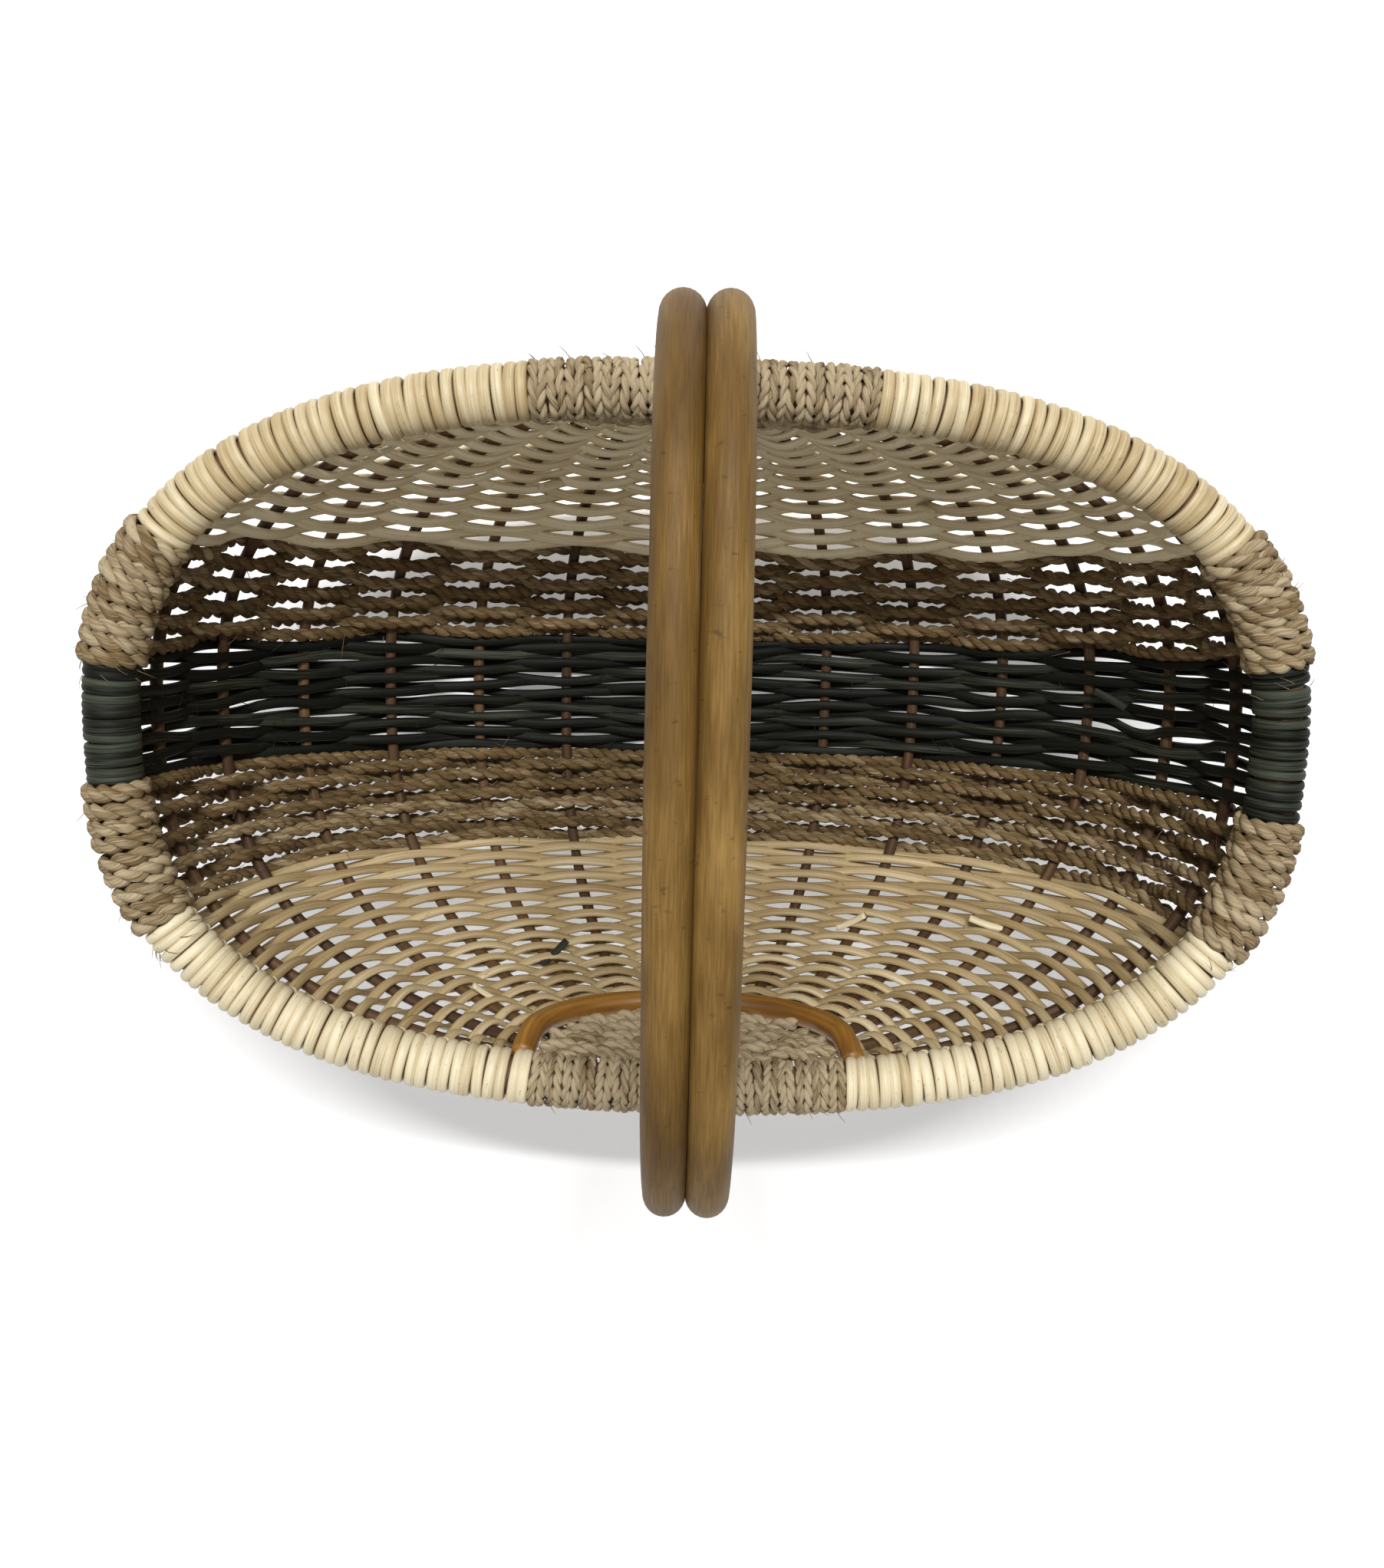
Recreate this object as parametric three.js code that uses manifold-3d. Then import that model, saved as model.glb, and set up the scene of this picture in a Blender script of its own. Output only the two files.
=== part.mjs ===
// A ribbed market basket: two bent cane rods make the arched handle, a bent cane pole makes the oval rim,
// and fourteen ribs run under the hollow from ear to ear. Cane, seagrass rope and dyed reed are woven
// across the ribs in five bands, and each band's strands turn back round the rim pole and wrap it.
// Millimetres, +Z up, origin on the floor under the middle of the base. X runs along the basket, and the
// handle stands across it in the Y-Z plane.
import * as THREE from "three";
import { mergeVertices } from "three/addons/utils/BufferGeometryUtils.js";
import Module from "manifold-3d";

const wasm = await Module();
wasm.setup();

// ---- Driving dimensions ----
const gap = 0.4; // clearance between pieces that touch

// The rim's centreline and the hollow below it.
const rimHalfLength = 237.5;
const rimHalfWidth = 144;
const rimExponent = 2.6; // 2 is an ellipse, and more is squarer
const hollowDepth = 180; // from the rim's centreline to the middle of the base's weave
const sectionExponent = 2.4; // roundness of the long section, from end to end
const baseFlatShare = 0.985; // share of the depth where the base goes flat
const skinThickness = 12; // the ribs with a weaver on each side

// Rim pole and what is wrapped round it.
const poleRadius = 8.4;
const caneWrapThickness = 3.4;
const reedWrapThickness = 4;
const ropeWrapThickness = 5;
const earWrapThickness = 3;

// Where the bands meet, as distances across the basket from its long middle line.
const reedHalfWidth = 30.2;
const ropeEdge = 76;
const earWrapHalfLength = 67;

// Where they meet on the rim, which is uneven because it was wrapped by hand.
const rimMeetings = {
  far: { right: { reed: 43, rope: 88 }, left: { reed: 33, rope: 84 } },
  near: { right: { reed: 20, rope: 76 }, left: { reed: 16, rope: 76 } },
};

// Ribs.
const ribCount = 14;
const ribRadius = 2.8;
const firstRibShare = 0.04; // of the woven width between the two rims

// Ears: the half-moon windows at the foot of the handle, framed by a bent cane loop.
const earScale = 0.33; // size of the window, as a share of the long section
const loopRadius = 5.4;
const loopSideInset = 6.5; // how far the loop's sides stand in from the window's sides
const farLoopInset = 1.5; // from the far loop, which lies in its window, to the window's edge
const earWeaveThickness = 9;

// Handle.
const handleRadius = 7.3;
const handleHeight = 178; // the arch's centreline above the rim's centreline
const handleSwell = 21.5; // how far the legs swell past where they stand
const handleLean = 17.5; // the arch's crown sits this far off the middle
const legFoot = 66; // how far a leg reaches below the rim's centreline
const footClearance = 3; // between a leg's foot and the ear's loop behind it

// ---- Sizes that follow ----
const rimHeight = hollowDepth * baseFlatShare + skinThickness / 2;
const widestWrap = poleRadius + ropeWrapThickness;
const skinTop = widestWrap + 2 * gap; // distance down the skin from the rim's centreline to its edge
const earDepth = hollowDepth * earScale;
const earHalfWidth = rimHalfLength * earScale;
const legAcross = rimHalfWidth - widestWrap - gap - handleRadius; // where a leg passes the rim

// ---- Materials ----
const material = (color, roughness) => new THREE.MeshStandardMaterial({ color, roughness, metalness: 0 });
const handleCane = material(0xb08a4e, 0.55);
const poleCane = material(0x7a4a2c, 0.7);
const ribCane = material(0x6b3f22, 0.75);
const loopCane = material(0xa8671f, 0.45);
const paleCane = material(0xd9cba0, 0.6);
const seagrass = material(0x8d7550, 0.85);
const dyedReed = material(0x252b2a, 0.7);

// ---- Curves ----

// What is left of 1 at this share of the way out along a rounded oblong.
const fall = (share, exponent) => Math.max(0, 1 - Math.abs(share) ** exponent) ** (1 / exponent);

// A quarter of a rounded oblong, from (halfLength, 0) to (0, halfWidth), measured along its length.
class Quarter {
  constructor(halfLength, halfWidth, exponent, samples = 2000) {
    const at = (i) => (Math.PI / 2) * (i / samples);
    this.points = Array.from({ length: samples + 1 }, (_, i) => new THREE.Vector2(
      halfLength * Math.cos(at(i)) ** (2 / exponent),
      halfWidth * Math.sin(at(i)) ** (2 / exponent),
    ));
    this.along = [0];
    for (let i = 1; i <= samples; i++) {
      this.along.push(this.along[i - 1] + this.points[i].distanceTo(this.points[i - 1]));
    }
    this.length = this.along[samples];
  }

  // The point this far along the quarter.
  at(distance) {
    let low = 0;
    let high = this.along.length - 1;
    while (high - low > 1) {
      const middle = (low + high) >> 1;
      if (this.along[middle] <= distance) low = middle;
      else high = middle;
    }
    const share = (distance - this.along[low]) / (this.along[high] - this.along[low]);
    return this.points[low].clone().lerp(this.points[high], share);
  }

  // How far along the quarter its height, the second coordinate, reaches this.
  distanceAtHeight(height) {
    const i = this.points.findIndex((p) => p.y >= height);
    return this.along[i];
  }

  // How far along the quarter it comes this close to the middle line.
  distanceAtWidth(width) {
    const i = this.points.findIndex((p) => p.x <= width);
    return this.along[i];
  }
}

const rimQuarter = new Quarter(rimHalfLength, rimHalfWidth, rimExponent);
const sectionQuarter = new Quarter(rimHalfLength, hollowDepth, sectionExponent);
const rimLength = 4 * rimQuarter.length;
const sectionLength = 2 * sectionQuarter.length;

// The rim's centreline, this far round it from its +X end, anticlockwise seen from above.
function rimPoint(distance) {
  const round = ((distance % rimLength) + rimLength) % rimLength;
  const quarter = Math.min(3, Math.floor(round / rimQuarter.length));
  const past = round - quarter * rimQuarter.length;
  const p = rimQuarter.at(quarter % 2 ? rimQuarter.length - past : past);
  const x = quarter === 1 || quarter === 2 ? -p.x : p.x;
  const y = quarter > 1 ? -p.y : p.y;
  return new THREE.Vector3(x, y, rimHeight);
}

// The way out from the rim's centreline there, level with the rim.
function rimOutward(distance) {
  const step = 1;
  const tangent = rimPoint(distance + step).sub(rimPoint(distance - step)).normalize();
  return new THREE.Vector3(tangent.y, -tangent.x, 0);
}

// The middle of the weave. share runs from 0 at the -X rim to 1 at the +X rim, along the section;
// turn runs from -90 degrees at the -Y ear to 90 degrees at the +Y ear.
function skinPoint(share, turn) {
  const shrink = Math.cos(turn) ** (2 / rimExponent);
  const across = Math.sign(turn) * rimHalfWidth * Math.abs(Math.sin(turn)) ** (2 / rimExponent);
  const distance = share * sectionLength;
  const right = distance > sectionQuarter.length;
  const p = sectionQuarter.at(right ? sectionLength - distance : distance);
  const depth = Math.min(p.y * shrink, hollowDepth * baseFlatShare);
  return new THREE.Vector3((right ? p.x : -p.x) * shrink, across, rimHeight - depth);
}

// Into the hollow, square to the weave there.
function skinInward(share, turn) {
  const step = 0.004;
  const along = skinPoint(share + step, turn).sub(skinPoint(share - step, turn));
  const acrossIt = skinPoint(share, turn + step).sub(skinPoint(share, turn - step));
  return along.cross(acrossIt).normalize();
}

const turnAt = (across) =>
  Math.sign(across) * Math.asin((Math.abs(across) / rimHalfWidth) ** (rimExponent / 2));
const earTurn = Math.acos(earScale ** (rimExponent / 2));

// The share of the section that the rim's wrapping takes at each end, where the section has shrunk to
// this turn.
const edgeShare = (turn) => skinTop / (sectionLength * Math.cos(turn) ** (2 / rimExponent));

// The share of a woven row, from 0 to 1 between the wrapped rims, as a share of the whole section.
const wovenShare = (row, turn) => edgeShare(turn) + row * (1 - 2 * edgeShare(turn));

// ---- Solids ----

// A round rod along a curve. sides is even.
function rod(curve, radius, sides, steps) {
  const circle = new THREE.Shape().absarc(0, 0, radius, 0, 2 * Math.PI);
  const curveSegments = sides / 2;
  return new THREE.ExtrudeGeometry(circle, { extrudePath: curve, steps, curveSegments, bevelEnabled: false });
}

function moveVertices(geometry, place) {
  const positions = geometry.getAttribute("position");
  for (let i = 0; i < positions.count; i++) {
    const p = place(new THREE.Vector3().fromBufferAttribute(positions, i));
    positions.setXYZ(i, p.x, p.y, p.z);
  }
  return geometry;
}

function solid(geometry) {
  const bare = geometry.clone();
  bare.deleteAttribute("normal");
  bare.deleteAttribute("uv");
  const merged = mergeVertices(bare, 1e-3);
  return new wasm.Manifold(new wasm.Mesh({
    numProp: 3,
    vertProperties: merged.getAttribute("position").array,
    triVerts: new Uint32Array(merged.index.array),
  }));
}

function geometryOf(manifold) {
  const mesh = manifold.getMesh();
  return new THREE.BufferGeometry()
    .setAttribute("position", new THREE.BufferAttribute(mesh.vertProperties, 3))
    .setIndex(new THREE.BufferAttribute(mesh.triVerts, 1));
}

const basket = new THREE.Group();

function add(name, geometry, finish) {
  const mesh = new THREE.Mesh(geometry, finish);
  mesh.name = name;
  basket.add(mesh);
}

// ---- Rim pole ----

// A ring round the rim, of this radius.
function rimRing(radius) {
  const round = 1000;
  return moveVertices(new THREE.TorusGeometry(round, radius, 8, 44), (p) => {
    const distance = (Math.atan2(p.y, p.x) / (2 * Math.PI)) * rimLength;
    return rimPoint(distance)
      .addScaledVector(rimOutward(distance), Math.hypot(p.x, p.y) - round)
      .setZ(rimHeight + p.z);
  });
}

add("rim_pole", rimRing(poleRadius), poleCane);

// ---- Wrapping round the rim ----

const poleTunnel = solid(rimRing(poleRadius + gap));

// A sleeve round the rim pole, between two distances round the rim.
function sleeve(from, to, thickness, steps) {
  const start = from + gap / 2;
  const length = to - from - gap;
  const profile = [new THREE.Vector2(0, 0)];
  for (let i = 0; i <= steps; i++) {
    profile.push(new THREE.Vector2(poleRadius + thickness, (length * i) / steps));
  }
  profile.push(new THREE.Vector2(0, length));
  const bent = moveVertices(new THREE.LatheGeometry(profile, 8), (p) => {
    const distance = start + p.y;
    return rimPoint(distance)
      .addScaledVector(rimOutward(distance), p.x)
      .setZ(rimHeight + p.z);
  });
  return geometryOf(solid(bent).subtract(poleTunnel));
}

const half = rimLength / 2;
const quarter = rimLength / 4;
const caneEnd = rimQuarter.distanceAtWidth(earWrapHalfLength);
const meets = (side, end, kind) => rimQuarter.distanceAtHeight(rimMeetings[side][end][kind]);

const rightReed = [-meets("near", "right", "reed"), meets("far", "right", "reed")];
const leftReed = [half - meets("far", "left", "reed"), half + meets("near", "left", "reed")];
add("rim_wrap_reed_right", sleeve(...rightReed, reedWrapThickness, 3), dyedReed);
add("rim_wrap_reed_left", sleeve(...leftReed, reedWrapThickness, 3), dyedReed);
for (const side of ["far", "near"]) {
  for (const end of ["right", "left"]) {
    const turnRound = end === "right" ? 0 : half;
    // On two of the four corners the wrapping runs from the ear to the end, so its distances swap.
    const forwards = (side === "far") === (end === "right");
    const span = (a, b) => (forwards ? [turnRound + a, turnRound + b] : [turnRound - b, turnRound - a]);
    const ropeStart = meets(side, end, "reed");
    const ropeEnd = meets(side, end, "rope");
    add(`rim_wrap_rope_${side}_${end}`, sleeve(...span(ropeStart, ropeEnd), ropeWrapThickness, 3), seagrass);
    add(`rim_wrap_cane_${side}_${end}`, sleeve(...span(ropeEnd, caneEnd), caneWrapThickness, 6), paleCane);
  }
  const middle = side === "far" ? quarter : -quarter;
  const reach = quarter - caneEnd;
  add(`rim_wrap_ear_${side}`, sleeve(middle - reach, middle + reach, earWrapThickness, 3), seagrass);
}

// ---- Ribs ----

const ribStep = (1 - 2 * firstRibShare) / (ribCount - 1);
const ribSteps = 14;
const ribSides = 6;

const overlongRib = 1.02; // each rib is bent this much too long, and its ends are cut

// A rib's middle line, which carries on a little way past both ears.
class RibCurve extends THREE.Curve {
  constructor(row) {
    super();
    this.row = row;
  }

  getPoint(t) {
    const turn = (2 * t - 1) * earTurn * overlongRib;
    return skinPoint(wovenShare(this.row, turn), turn);
  }
}

// Cuts a rod on this curve square where it meets each ear.
function trimAtEars(rodSolid, curve) {
  return [-1, 1].reduce((left, end) => {
    const stop = curve.getPoint(0.5 + (end * 0.5) / overlongRib);
    const inwards = curve.getPoint(0.5 + end * 0.44).sub(stop).normalize();
    return left.trimByPlane(inwards.toArray(), inwards.dot(stop));
  }, rodSolid);
}

const ribTunnels = [];
for (let i = 0; i < ribCount; i++) {
  const curve = new RibCurve(firstRibShare + i * ribStep);
  const rib = trimAtEars(solid(rod(curve, ribRadius, ribSides, ribSteps)), curve);
  add(`rib_${String(i + 1).padStart(2, "0")}`, geometryOf(rib), ribCane);
  ribTunnels.push(solid(rod(curve, (ribRadius + gap) * Math.SQRT2, 4, ribSteps)));
}

// ---- Woven bands ----

// The weave between two turns, as a sheet bent over the ribs, with a square tunnel for each rib.
function sheet(fromTurn, toTurn, steps) {
  const flat = new THREE.BoxGeometry(1, 1, 1, 24, steps, 1);
  const bent = moveVertices(flat, (p) => {
    const turn = fromTurn + (p.y + 0.5) * (toTurn - fromTurn);
    const share = wovenShare(p.x + 0.5, turn);
    return skinPoint(share, turn).addScaledVector(skinInward(share, turn), p.z * skinThickness);
  });
  return ribTunnels.reduce((left, tunnel) => left.subtract(tunnel), solid(bent));
}

const overlong = 0.06; // each sheet is bent this much too wide, as a turn, and its edges are cut straight
const reedTurn = turnAt(reedHalfWidth) + overlong;
const reedEdge = gap / 2 - reedHalfWidth;
const reedSheet = sheet(-reedTurn, reedTurn, 4)
  .trimByPlane([0, 1, 0], reedEdge)
  .trimByPlane([0, -1, 0], reedEdge);
add("weave_reed", geometryOf(reedSheet), dyedReed);

for (const [side, sign] of [["near", -1], ["far", 1]]) {
  const between = (a, b, steps) => sheet(...(sign < 0 ? [-b, -a] : [a, b]), steps);
  const ropeSheet = between(turnAt(reedHalfWidth) - overlong, turnAt(ropeEdge) + overlong, 4)
    .trimByPlane([0, sign, 0], reedHalfWidth + gap / 2)
    .trimByPlane([0, -sign, 0], gap / 2 - ropeEdge);
  const caneSheet = between(turnAt(ropeEdge) - overlong, earTurn, 6)
    .trimByPlane([0, sign, 0], ropeEdge + gap / 2);
  add(`weave_rope_${side}`, geometryOf(ropeSheet), seagrass);
  add(`weave_cane_${side}`, geometryOf(caneSheet), paleCane);
}

// ---- Ears ----

// A half-moon outline below the rim, as points from left to right. depthTop is where it starts.
function halfMoon(halfWidth, depth, exponent, depthTop, steps) {
  const widthAt = halfWidth * fall(depthTop / depth, exponent);
  const shareAt = Math.asin((widthAt / halfWidth) ** (exponent / 2));
  return Array.from({ length: steps + 1 }, (_, i) => {
    const angle = shareAt * ((2 * i) / steps - 1);
    const x = Math.sign(angle) * halfWidth * Math.abs(Math.sin(angle)) ** (2 / exponent);
    return new THREE.Vector2(x, -depth * Math.cos(angle) ** (2 / exponent));
  });
}

// The near loop lies against the inner face of the wall, round the window's edge, and the far one in its
// window. Both stand outside the handle's feet. The ear's weave fills the window behind the handle's legs.
const earAcross = rimHalfWidth * fall(earScale, rimExponent);
const loopAcross = earAcross - skinThickness / 2 - 2 * gap - loopRadius;
const ears = {
  near: { sign: -1, across: loopAcross, inset: 0 },
  far: { sign: 1, across: earAcross - loopRadius / 2, inset: loopRadius + farLoopInset },
};
const earWeaveInner = legAcross + handleRadius + 2 * gap;
const insetMoon = (inset, steps) =>
  halfMoon(earHalfWidth - loopSideInset - inset, earDepth - inset, sectionExponent, skinTop, steps);

for (const [side, { sign, across, inset }] of Object.entries(ears)) {
  const loopPoints = insetMoon(inset, 14)
    .map((p) => new THREE.Vector3(p.x, sign * across, rimHeight + p.y));
  add(`ear_loop_${side}`, rod(new THREE.CatmullRomCurve3(loopPoints), loopRadius, 8, 16), loopCane);

  const plate = new THREE.ExtrudeGeometry(new THREE.Shape(insetMoon(inset + loopRadius + gap, 12)), {
    depth: earWeaveThickness, steps: 1, bevelEnabled: false,
  });
  plate.rotateX(Math.PI / 2);
  const back = sign < 0 ? -earWeaveInner : earWeaveInner + earWeaveThickness;
  add(`ear_weave_${side}`, plate.translate(0, back, rimHeight), seagrass);
}

// ---- Handle ----

// One side of the arch, from the foot of a leg up to the crown, as distances across and above the rim.
const archSide = [
  [loopAcross - loopRadius - footClearance - handleRadius, -legFoot],
  [legAcross, 0],
  [legAcross + handleSwell * 0.62, handleHeight * 0.35],
  [legAcross + handleSwell, handleHeight * 0.66],
  [legAcross - 16, handleHeight * 0.91],
  [legAcross * 0.45, handleHeight * 0.99],
];
const leanAt = (height) => handleLean * THREE.MathUtils.smoothstep(height, 0, handleHeight);
const archPoint = (x, across, height) => new THREE.Vector3(x, across + leanAt(height), rimHeight + height);

for (const [end, sign] of [["left", -1], ["right", 1]]) {
  const x = sign * (handleRadius + gap / 2);
  const arch = new THREE.CatmullRomCurve3([
    ...archSide.map(([across, height]) => archPoint(x, -across, height)),
    archPoint(x, 0, handleHeight),
    ...archSide.toReversed().map(([across, height]) => archPoint(x, across, height)),
  ]);
  add(`handle_rod_${end}`, rod(arch, handleRadius, 10, 30), handleCane);
}

export default basket;
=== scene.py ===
"""Looks of a ribbed market basket woven in cane, seagrass rope and dyed reed.

Every strand of the weave is swept along its own path over and under the ribs, and turns round the
rim pole where it meets it. Lengths are in millimetres, in the frame of the part: X along the
basket, Z up, origin on the floor.
"""

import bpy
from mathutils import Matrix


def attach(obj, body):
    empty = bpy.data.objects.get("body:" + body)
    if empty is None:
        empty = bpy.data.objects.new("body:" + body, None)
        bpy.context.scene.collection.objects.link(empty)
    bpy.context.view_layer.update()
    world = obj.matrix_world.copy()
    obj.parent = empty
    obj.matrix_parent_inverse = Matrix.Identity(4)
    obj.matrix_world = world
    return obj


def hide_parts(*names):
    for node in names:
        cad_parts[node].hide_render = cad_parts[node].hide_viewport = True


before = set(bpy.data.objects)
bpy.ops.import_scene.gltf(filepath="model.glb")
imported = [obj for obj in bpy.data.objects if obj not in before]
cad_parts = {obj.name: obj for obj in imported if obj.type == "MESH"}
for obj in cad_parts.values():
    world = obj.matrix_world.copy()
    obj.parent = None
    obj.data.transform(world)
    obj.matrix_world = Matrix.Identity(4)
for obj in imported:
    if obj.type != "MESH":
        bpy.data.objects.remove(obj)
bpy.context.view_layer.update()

import logging
from dataclasses import dataclass, field
from enum import Enum

import bmesh
import bpy
import numpy as np
from mathutils import Matrix, Vector

LOG = logging.getLogger("basket")
MM = 0.001
SEED = 11
RIB_COUNT = 14

# A rope's twist starts at any angle up to this, in radians.
FULL_TURN = 6.28
# How far a ply's middle is from its rope's, and how thick the ply is, as shares of the rope.
PLY_OFFSET = 0.215
PLY_SIZE = 0.6
# How far along a rope a ply goes once round: in the weave, in the ears and on the rim above them.
ROPE_TWIST = 16.5
EAR_ROPE_TWIST = 12.5
EAR_WRAP_TWIST = 11.0
# How far apart the points of a rope are, and of a weaver.
ROPE_STEP = 1.5
WEAVER_STEP = 3.6
# How far from the rim's centreline a weaver leaves the skin to turn round the pole.
WEAVE_MARGIN = 19.0
# How far a weaver presses into the ribs it crosses, and how much narrower it is there.
RIB_PRESS = 0.25
RIB_PINCH = 0.06
# The angles where a turn round the rim pole starts and ends: of a weaver that comes up inside
# the pole or outside it, of a turn that isn't woven in, and of the ears' wrapping.
INNER_TURN = (np.pi, -0.86 * np.pi)
OUTER_TURN = (0.0, 1.80 * np.pi)
SPARE_TURN = (-0.60 * np.pi, 1.48 * np.pi)
EAR_TURN = (-0.55 * np.pi, 1.5 * np.pi)
# How far each kind of turn stands clear of the pole or presses into it, and how many points it has.
WOVEN_CLEARANCE, WOVEN_POINTS = 0.15, 34
SPARE_CLEARANCE, SPARE_POINTS = 0.1, 44
EAR_WRAP_PRESS, EAR_WRAP_POINTS = 0.1, 48
# Unevenness: about how far each thing wanders, and about how far apart its swings are. A swell
# is a share of the strand's size.
LIFT_WANDER = (0.22, 40.0)
WIDTH_WANDER = (0.16, 60.0)
THICKNESS_SWELL = (0.04, 70.0)
PLY_SWELL = (0.09, 9.0)
ROD_SWELL = (0.018, 80.0)
RIB_SWELL = (0.03, 60.0)
EAR_ROPE_BULGE = (0.9, 30.0)
EAR_ROPE_SAG = (1.1, 34.0)
EAR_WRAP_SLANT = (0.35, 20.0)
# How far apart a weaver's sideways swings are.
STRAY_LENGTH = 80.0
# How much lighter than their finish the ears' ropes are painted: painted light that lifts the shade
# on the rope in the windows and on the wrapping above them.
EAR_ROPE_PAINTED_LIGHT = 0.34
EAR_WRAP_PAINTED_LIGHT = 0.36
# A fibre's width at its root and at its tip, and how many points it has.
FIBRE_WIDTHS = (0.42, 0.16)
FIBRE_POINTS = 9
# The cut ends inside: the share of the section, the distance across, and the heading in radians.
PALE_CUT_ENDS = [
    (0.21, -134.0, 2.4),
    (0.66, -112.0, 0.5),
    (0.79, -104.0, 3.6),
    (0.36, 112.0, 2.8),
    (0.70, 104.0, 0.3),
]
DARK_CUT_ENDS = [(0.335, -126.0, 0.2), (0.83, 12.0, 2.6)]


# Sizes


@dataclass(frozen=True)
class Form:
    """The basket's driving dimensions, in millimetres."""

    rim_half_length: float = 237.5
    rim_half_width: float = 144.0
    rim_exponent: float = 2.6
    hollow_depth: float = 180.0
    section_exponent: float = 2.4
    base_flat_share: float = 0.985
    skin_thickness: float = 12.0
    pole_radius: float = 8.4
    skin_top: float = 14.2
    reed_half_width: float = 30.2
    rope_edge: float = 76.0
    ear_wrap_half_length: float = 67.0
    rib_radius: float = 2.7
    first_rib_share: float = 0.04
    ear_scale: float = 0.33
    loop_radius: float = 5.4
    near_loop_across: float = 128.6
    far_loop_across: float = 138.1
    far_loop_inset: float = 6.9
    loop_side_inset: float = 6.5
    near_ear_rope_across: float = 132.0
    far_ear_rope_across: float = 135.5
    handle_radius: float = 7.3
    handle_height: float = 178.0
    handle_swell: float = 21.5
    handle_lean: float = 17.5
    leg_across: float = 122.9
    leg_foot: float = 66.0
    foot_tuck: float = 10.0

    @property
    def rim_height(self) -> float:
        """How high the rim's centreline is above the floor."""
        return self.hollow_depth * self.base_flat_share + self.skin_thickness / 2


FORM = Form()


@dataclass(frozen=True)
class Lay:
    """How one kind of strand is cut and packed.

    Args:
        width: across the strand, in the surface it lies on.
        thickness: through the strand, square to that surface.
        pitch: from one strand's middle to the next where they lie side by side.
        stray: how far the strand wanders sideways.
    """

    width: float
    thickness: float
    pitch: float
    stray: float = 0.5


FAR_CANE = Lay(width=6.6, thickness=2.9, pitch=4.8, stray=1.2)
NEAR_CANE = Lay(width=5.2, thickness=2.7, pitch=4.1, stray=1.1)
REED = Lay(width=5.0, thickness=2.8, pitch=4.0, stray=1.6)
ROPE = Lay(width=7.0, thickness=5.8, pitch=5.3, stray=1.0)
CANE_WRAP = Lay(width=4.8, thickness=3.1, pitch=4.8)
REED_WRAP = Lay(width=4.0, thickness=2.7, pitch=4.4)
ROPE_WRAP = Lay(width=7.8, thickness=5.6, pitch=7.6)
EAR_WRAP = Lay(width=4.2, thickness=3.8, pitch=3.5)
EAR_ROPE = Lay(width=6.4, thickness=6.0, pitch=5.2)


class Side(Enum):
    """Which long side of the basket a piece belongs to."""

    NEAR = -1
    FAR = 1


class End(Enum):
    """Which end of the basket a piece belongs to."""

    LEFT = -1
    RIGHT = 1


# Curves


def unit(vectors: np.ndarray) -> np.ndarray:
    """Scales vectors to length one.

    Args:
        vectors: rows of vectors.

    Returns:
        The same rows, each of length one.
    """
    lengths = np.linalg.norm(vectors, axis=-1, keepdims=True)
    return vectors / np.maximum(lengths, 1e-9)


def cubic(
    start: np.ndarray, start_pull: np.ndarray, stop: np.ndarray, stop_pull: np.ndarray, count: int
) -> np.ndarray:
    """Joins two points with a smooth curve.

    Args:
        start: where the curve starts.
        start_pull: its direction and strength there.
        stop: where it stops.
        stop_pull: its direction and strength there.
        count: how many points to return, without the two ends.

    Returns:
        Points along the curve.
    """
    t = np.linspace(0, 1, count + 2)[1:-1, None]
    a, b = 2 * t**3 - 3 * t**2 + 1, t**3 - 2 * t**2 + t
    c, d = -2 * t**3 + 3 * t**2, t**3 - t**2
    return a * start + b * start_pull + c * stop + d * stop_pull


def through(points: list, per_span: int) -> np.ndarray:
    """Draws a smooth curve through points.

    Args:
        points: the points to pass through.
        per_span: how many samples lie between each two.

    Returns:
        Points along the curve, evenly spaced.
    """
    p = np.array(points, dtype=float)
    p = np.vstack([2 * p[0] - p[1], p, 2 * p[-1] - p[-2]])
    out = []
    for i in range(1, len(p) - 2):
        quad = p[i - 1 : i + 3]
        k = np.concatenate([[0], np.cumsum(np.sqrt(np.linalg.norm(np.diff(quad, axis=0), axis=1)))])
        t = np.linspace(k[1], k[2], per_span, endpoint=False)[:, None]

        def mix(low: np.ndarray, high: np.ndarray, first: float, last: float) -> np.ndarray:
            """Slides from one point to the next as t goes from the first knot to the last."""
            return (low * (last - t) + high * (t - first)) / (last - first)

        level = [mix(quad[j], quad[j + 1], k[j], k[j + 1]) for j in range(3)]
        level = [mix(level[j], level[j + 1], k[j], k[j + 2]) for j in range(2)]
        out.append(mix(level[0], level[1], k[1], k[2]))
    return evenly(np.vstack([*out, p[-2:-1]]))


def distances(path: np.ndarray) -> np.ndarray:
    """Returns how far along a path each of its points is."""
    return np.concatenate([[0], np.cumsum(np.linalg.norm(np.diff(path, axis=0), axis=1))])


def sampled(at: np.ndarray, places: np.ndarray, rows: np.ndarray) -> np.ndarray:
    """Reads rows of three numbers, which stand at places, at other places between them."""
    return np.stack([np.interp(at, places, rows[:, i]) for i in range(3)], axis=1)


def evenly(path: np.ndarray) -> np.ndarray:
    """Returns a path's points spaced evenly, as many as there were."""
    along = distances(path)
    return sampled(np.linspace(0, along[-1], len(path)), along, path)


def held(values: np.ndarray, count: int) -> np.ndarray:
    """Returns the values followed by copies of the last one, up to a count."""
    return np.concatenate([values, np.full(count - len(values), values[-1])])


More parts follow.
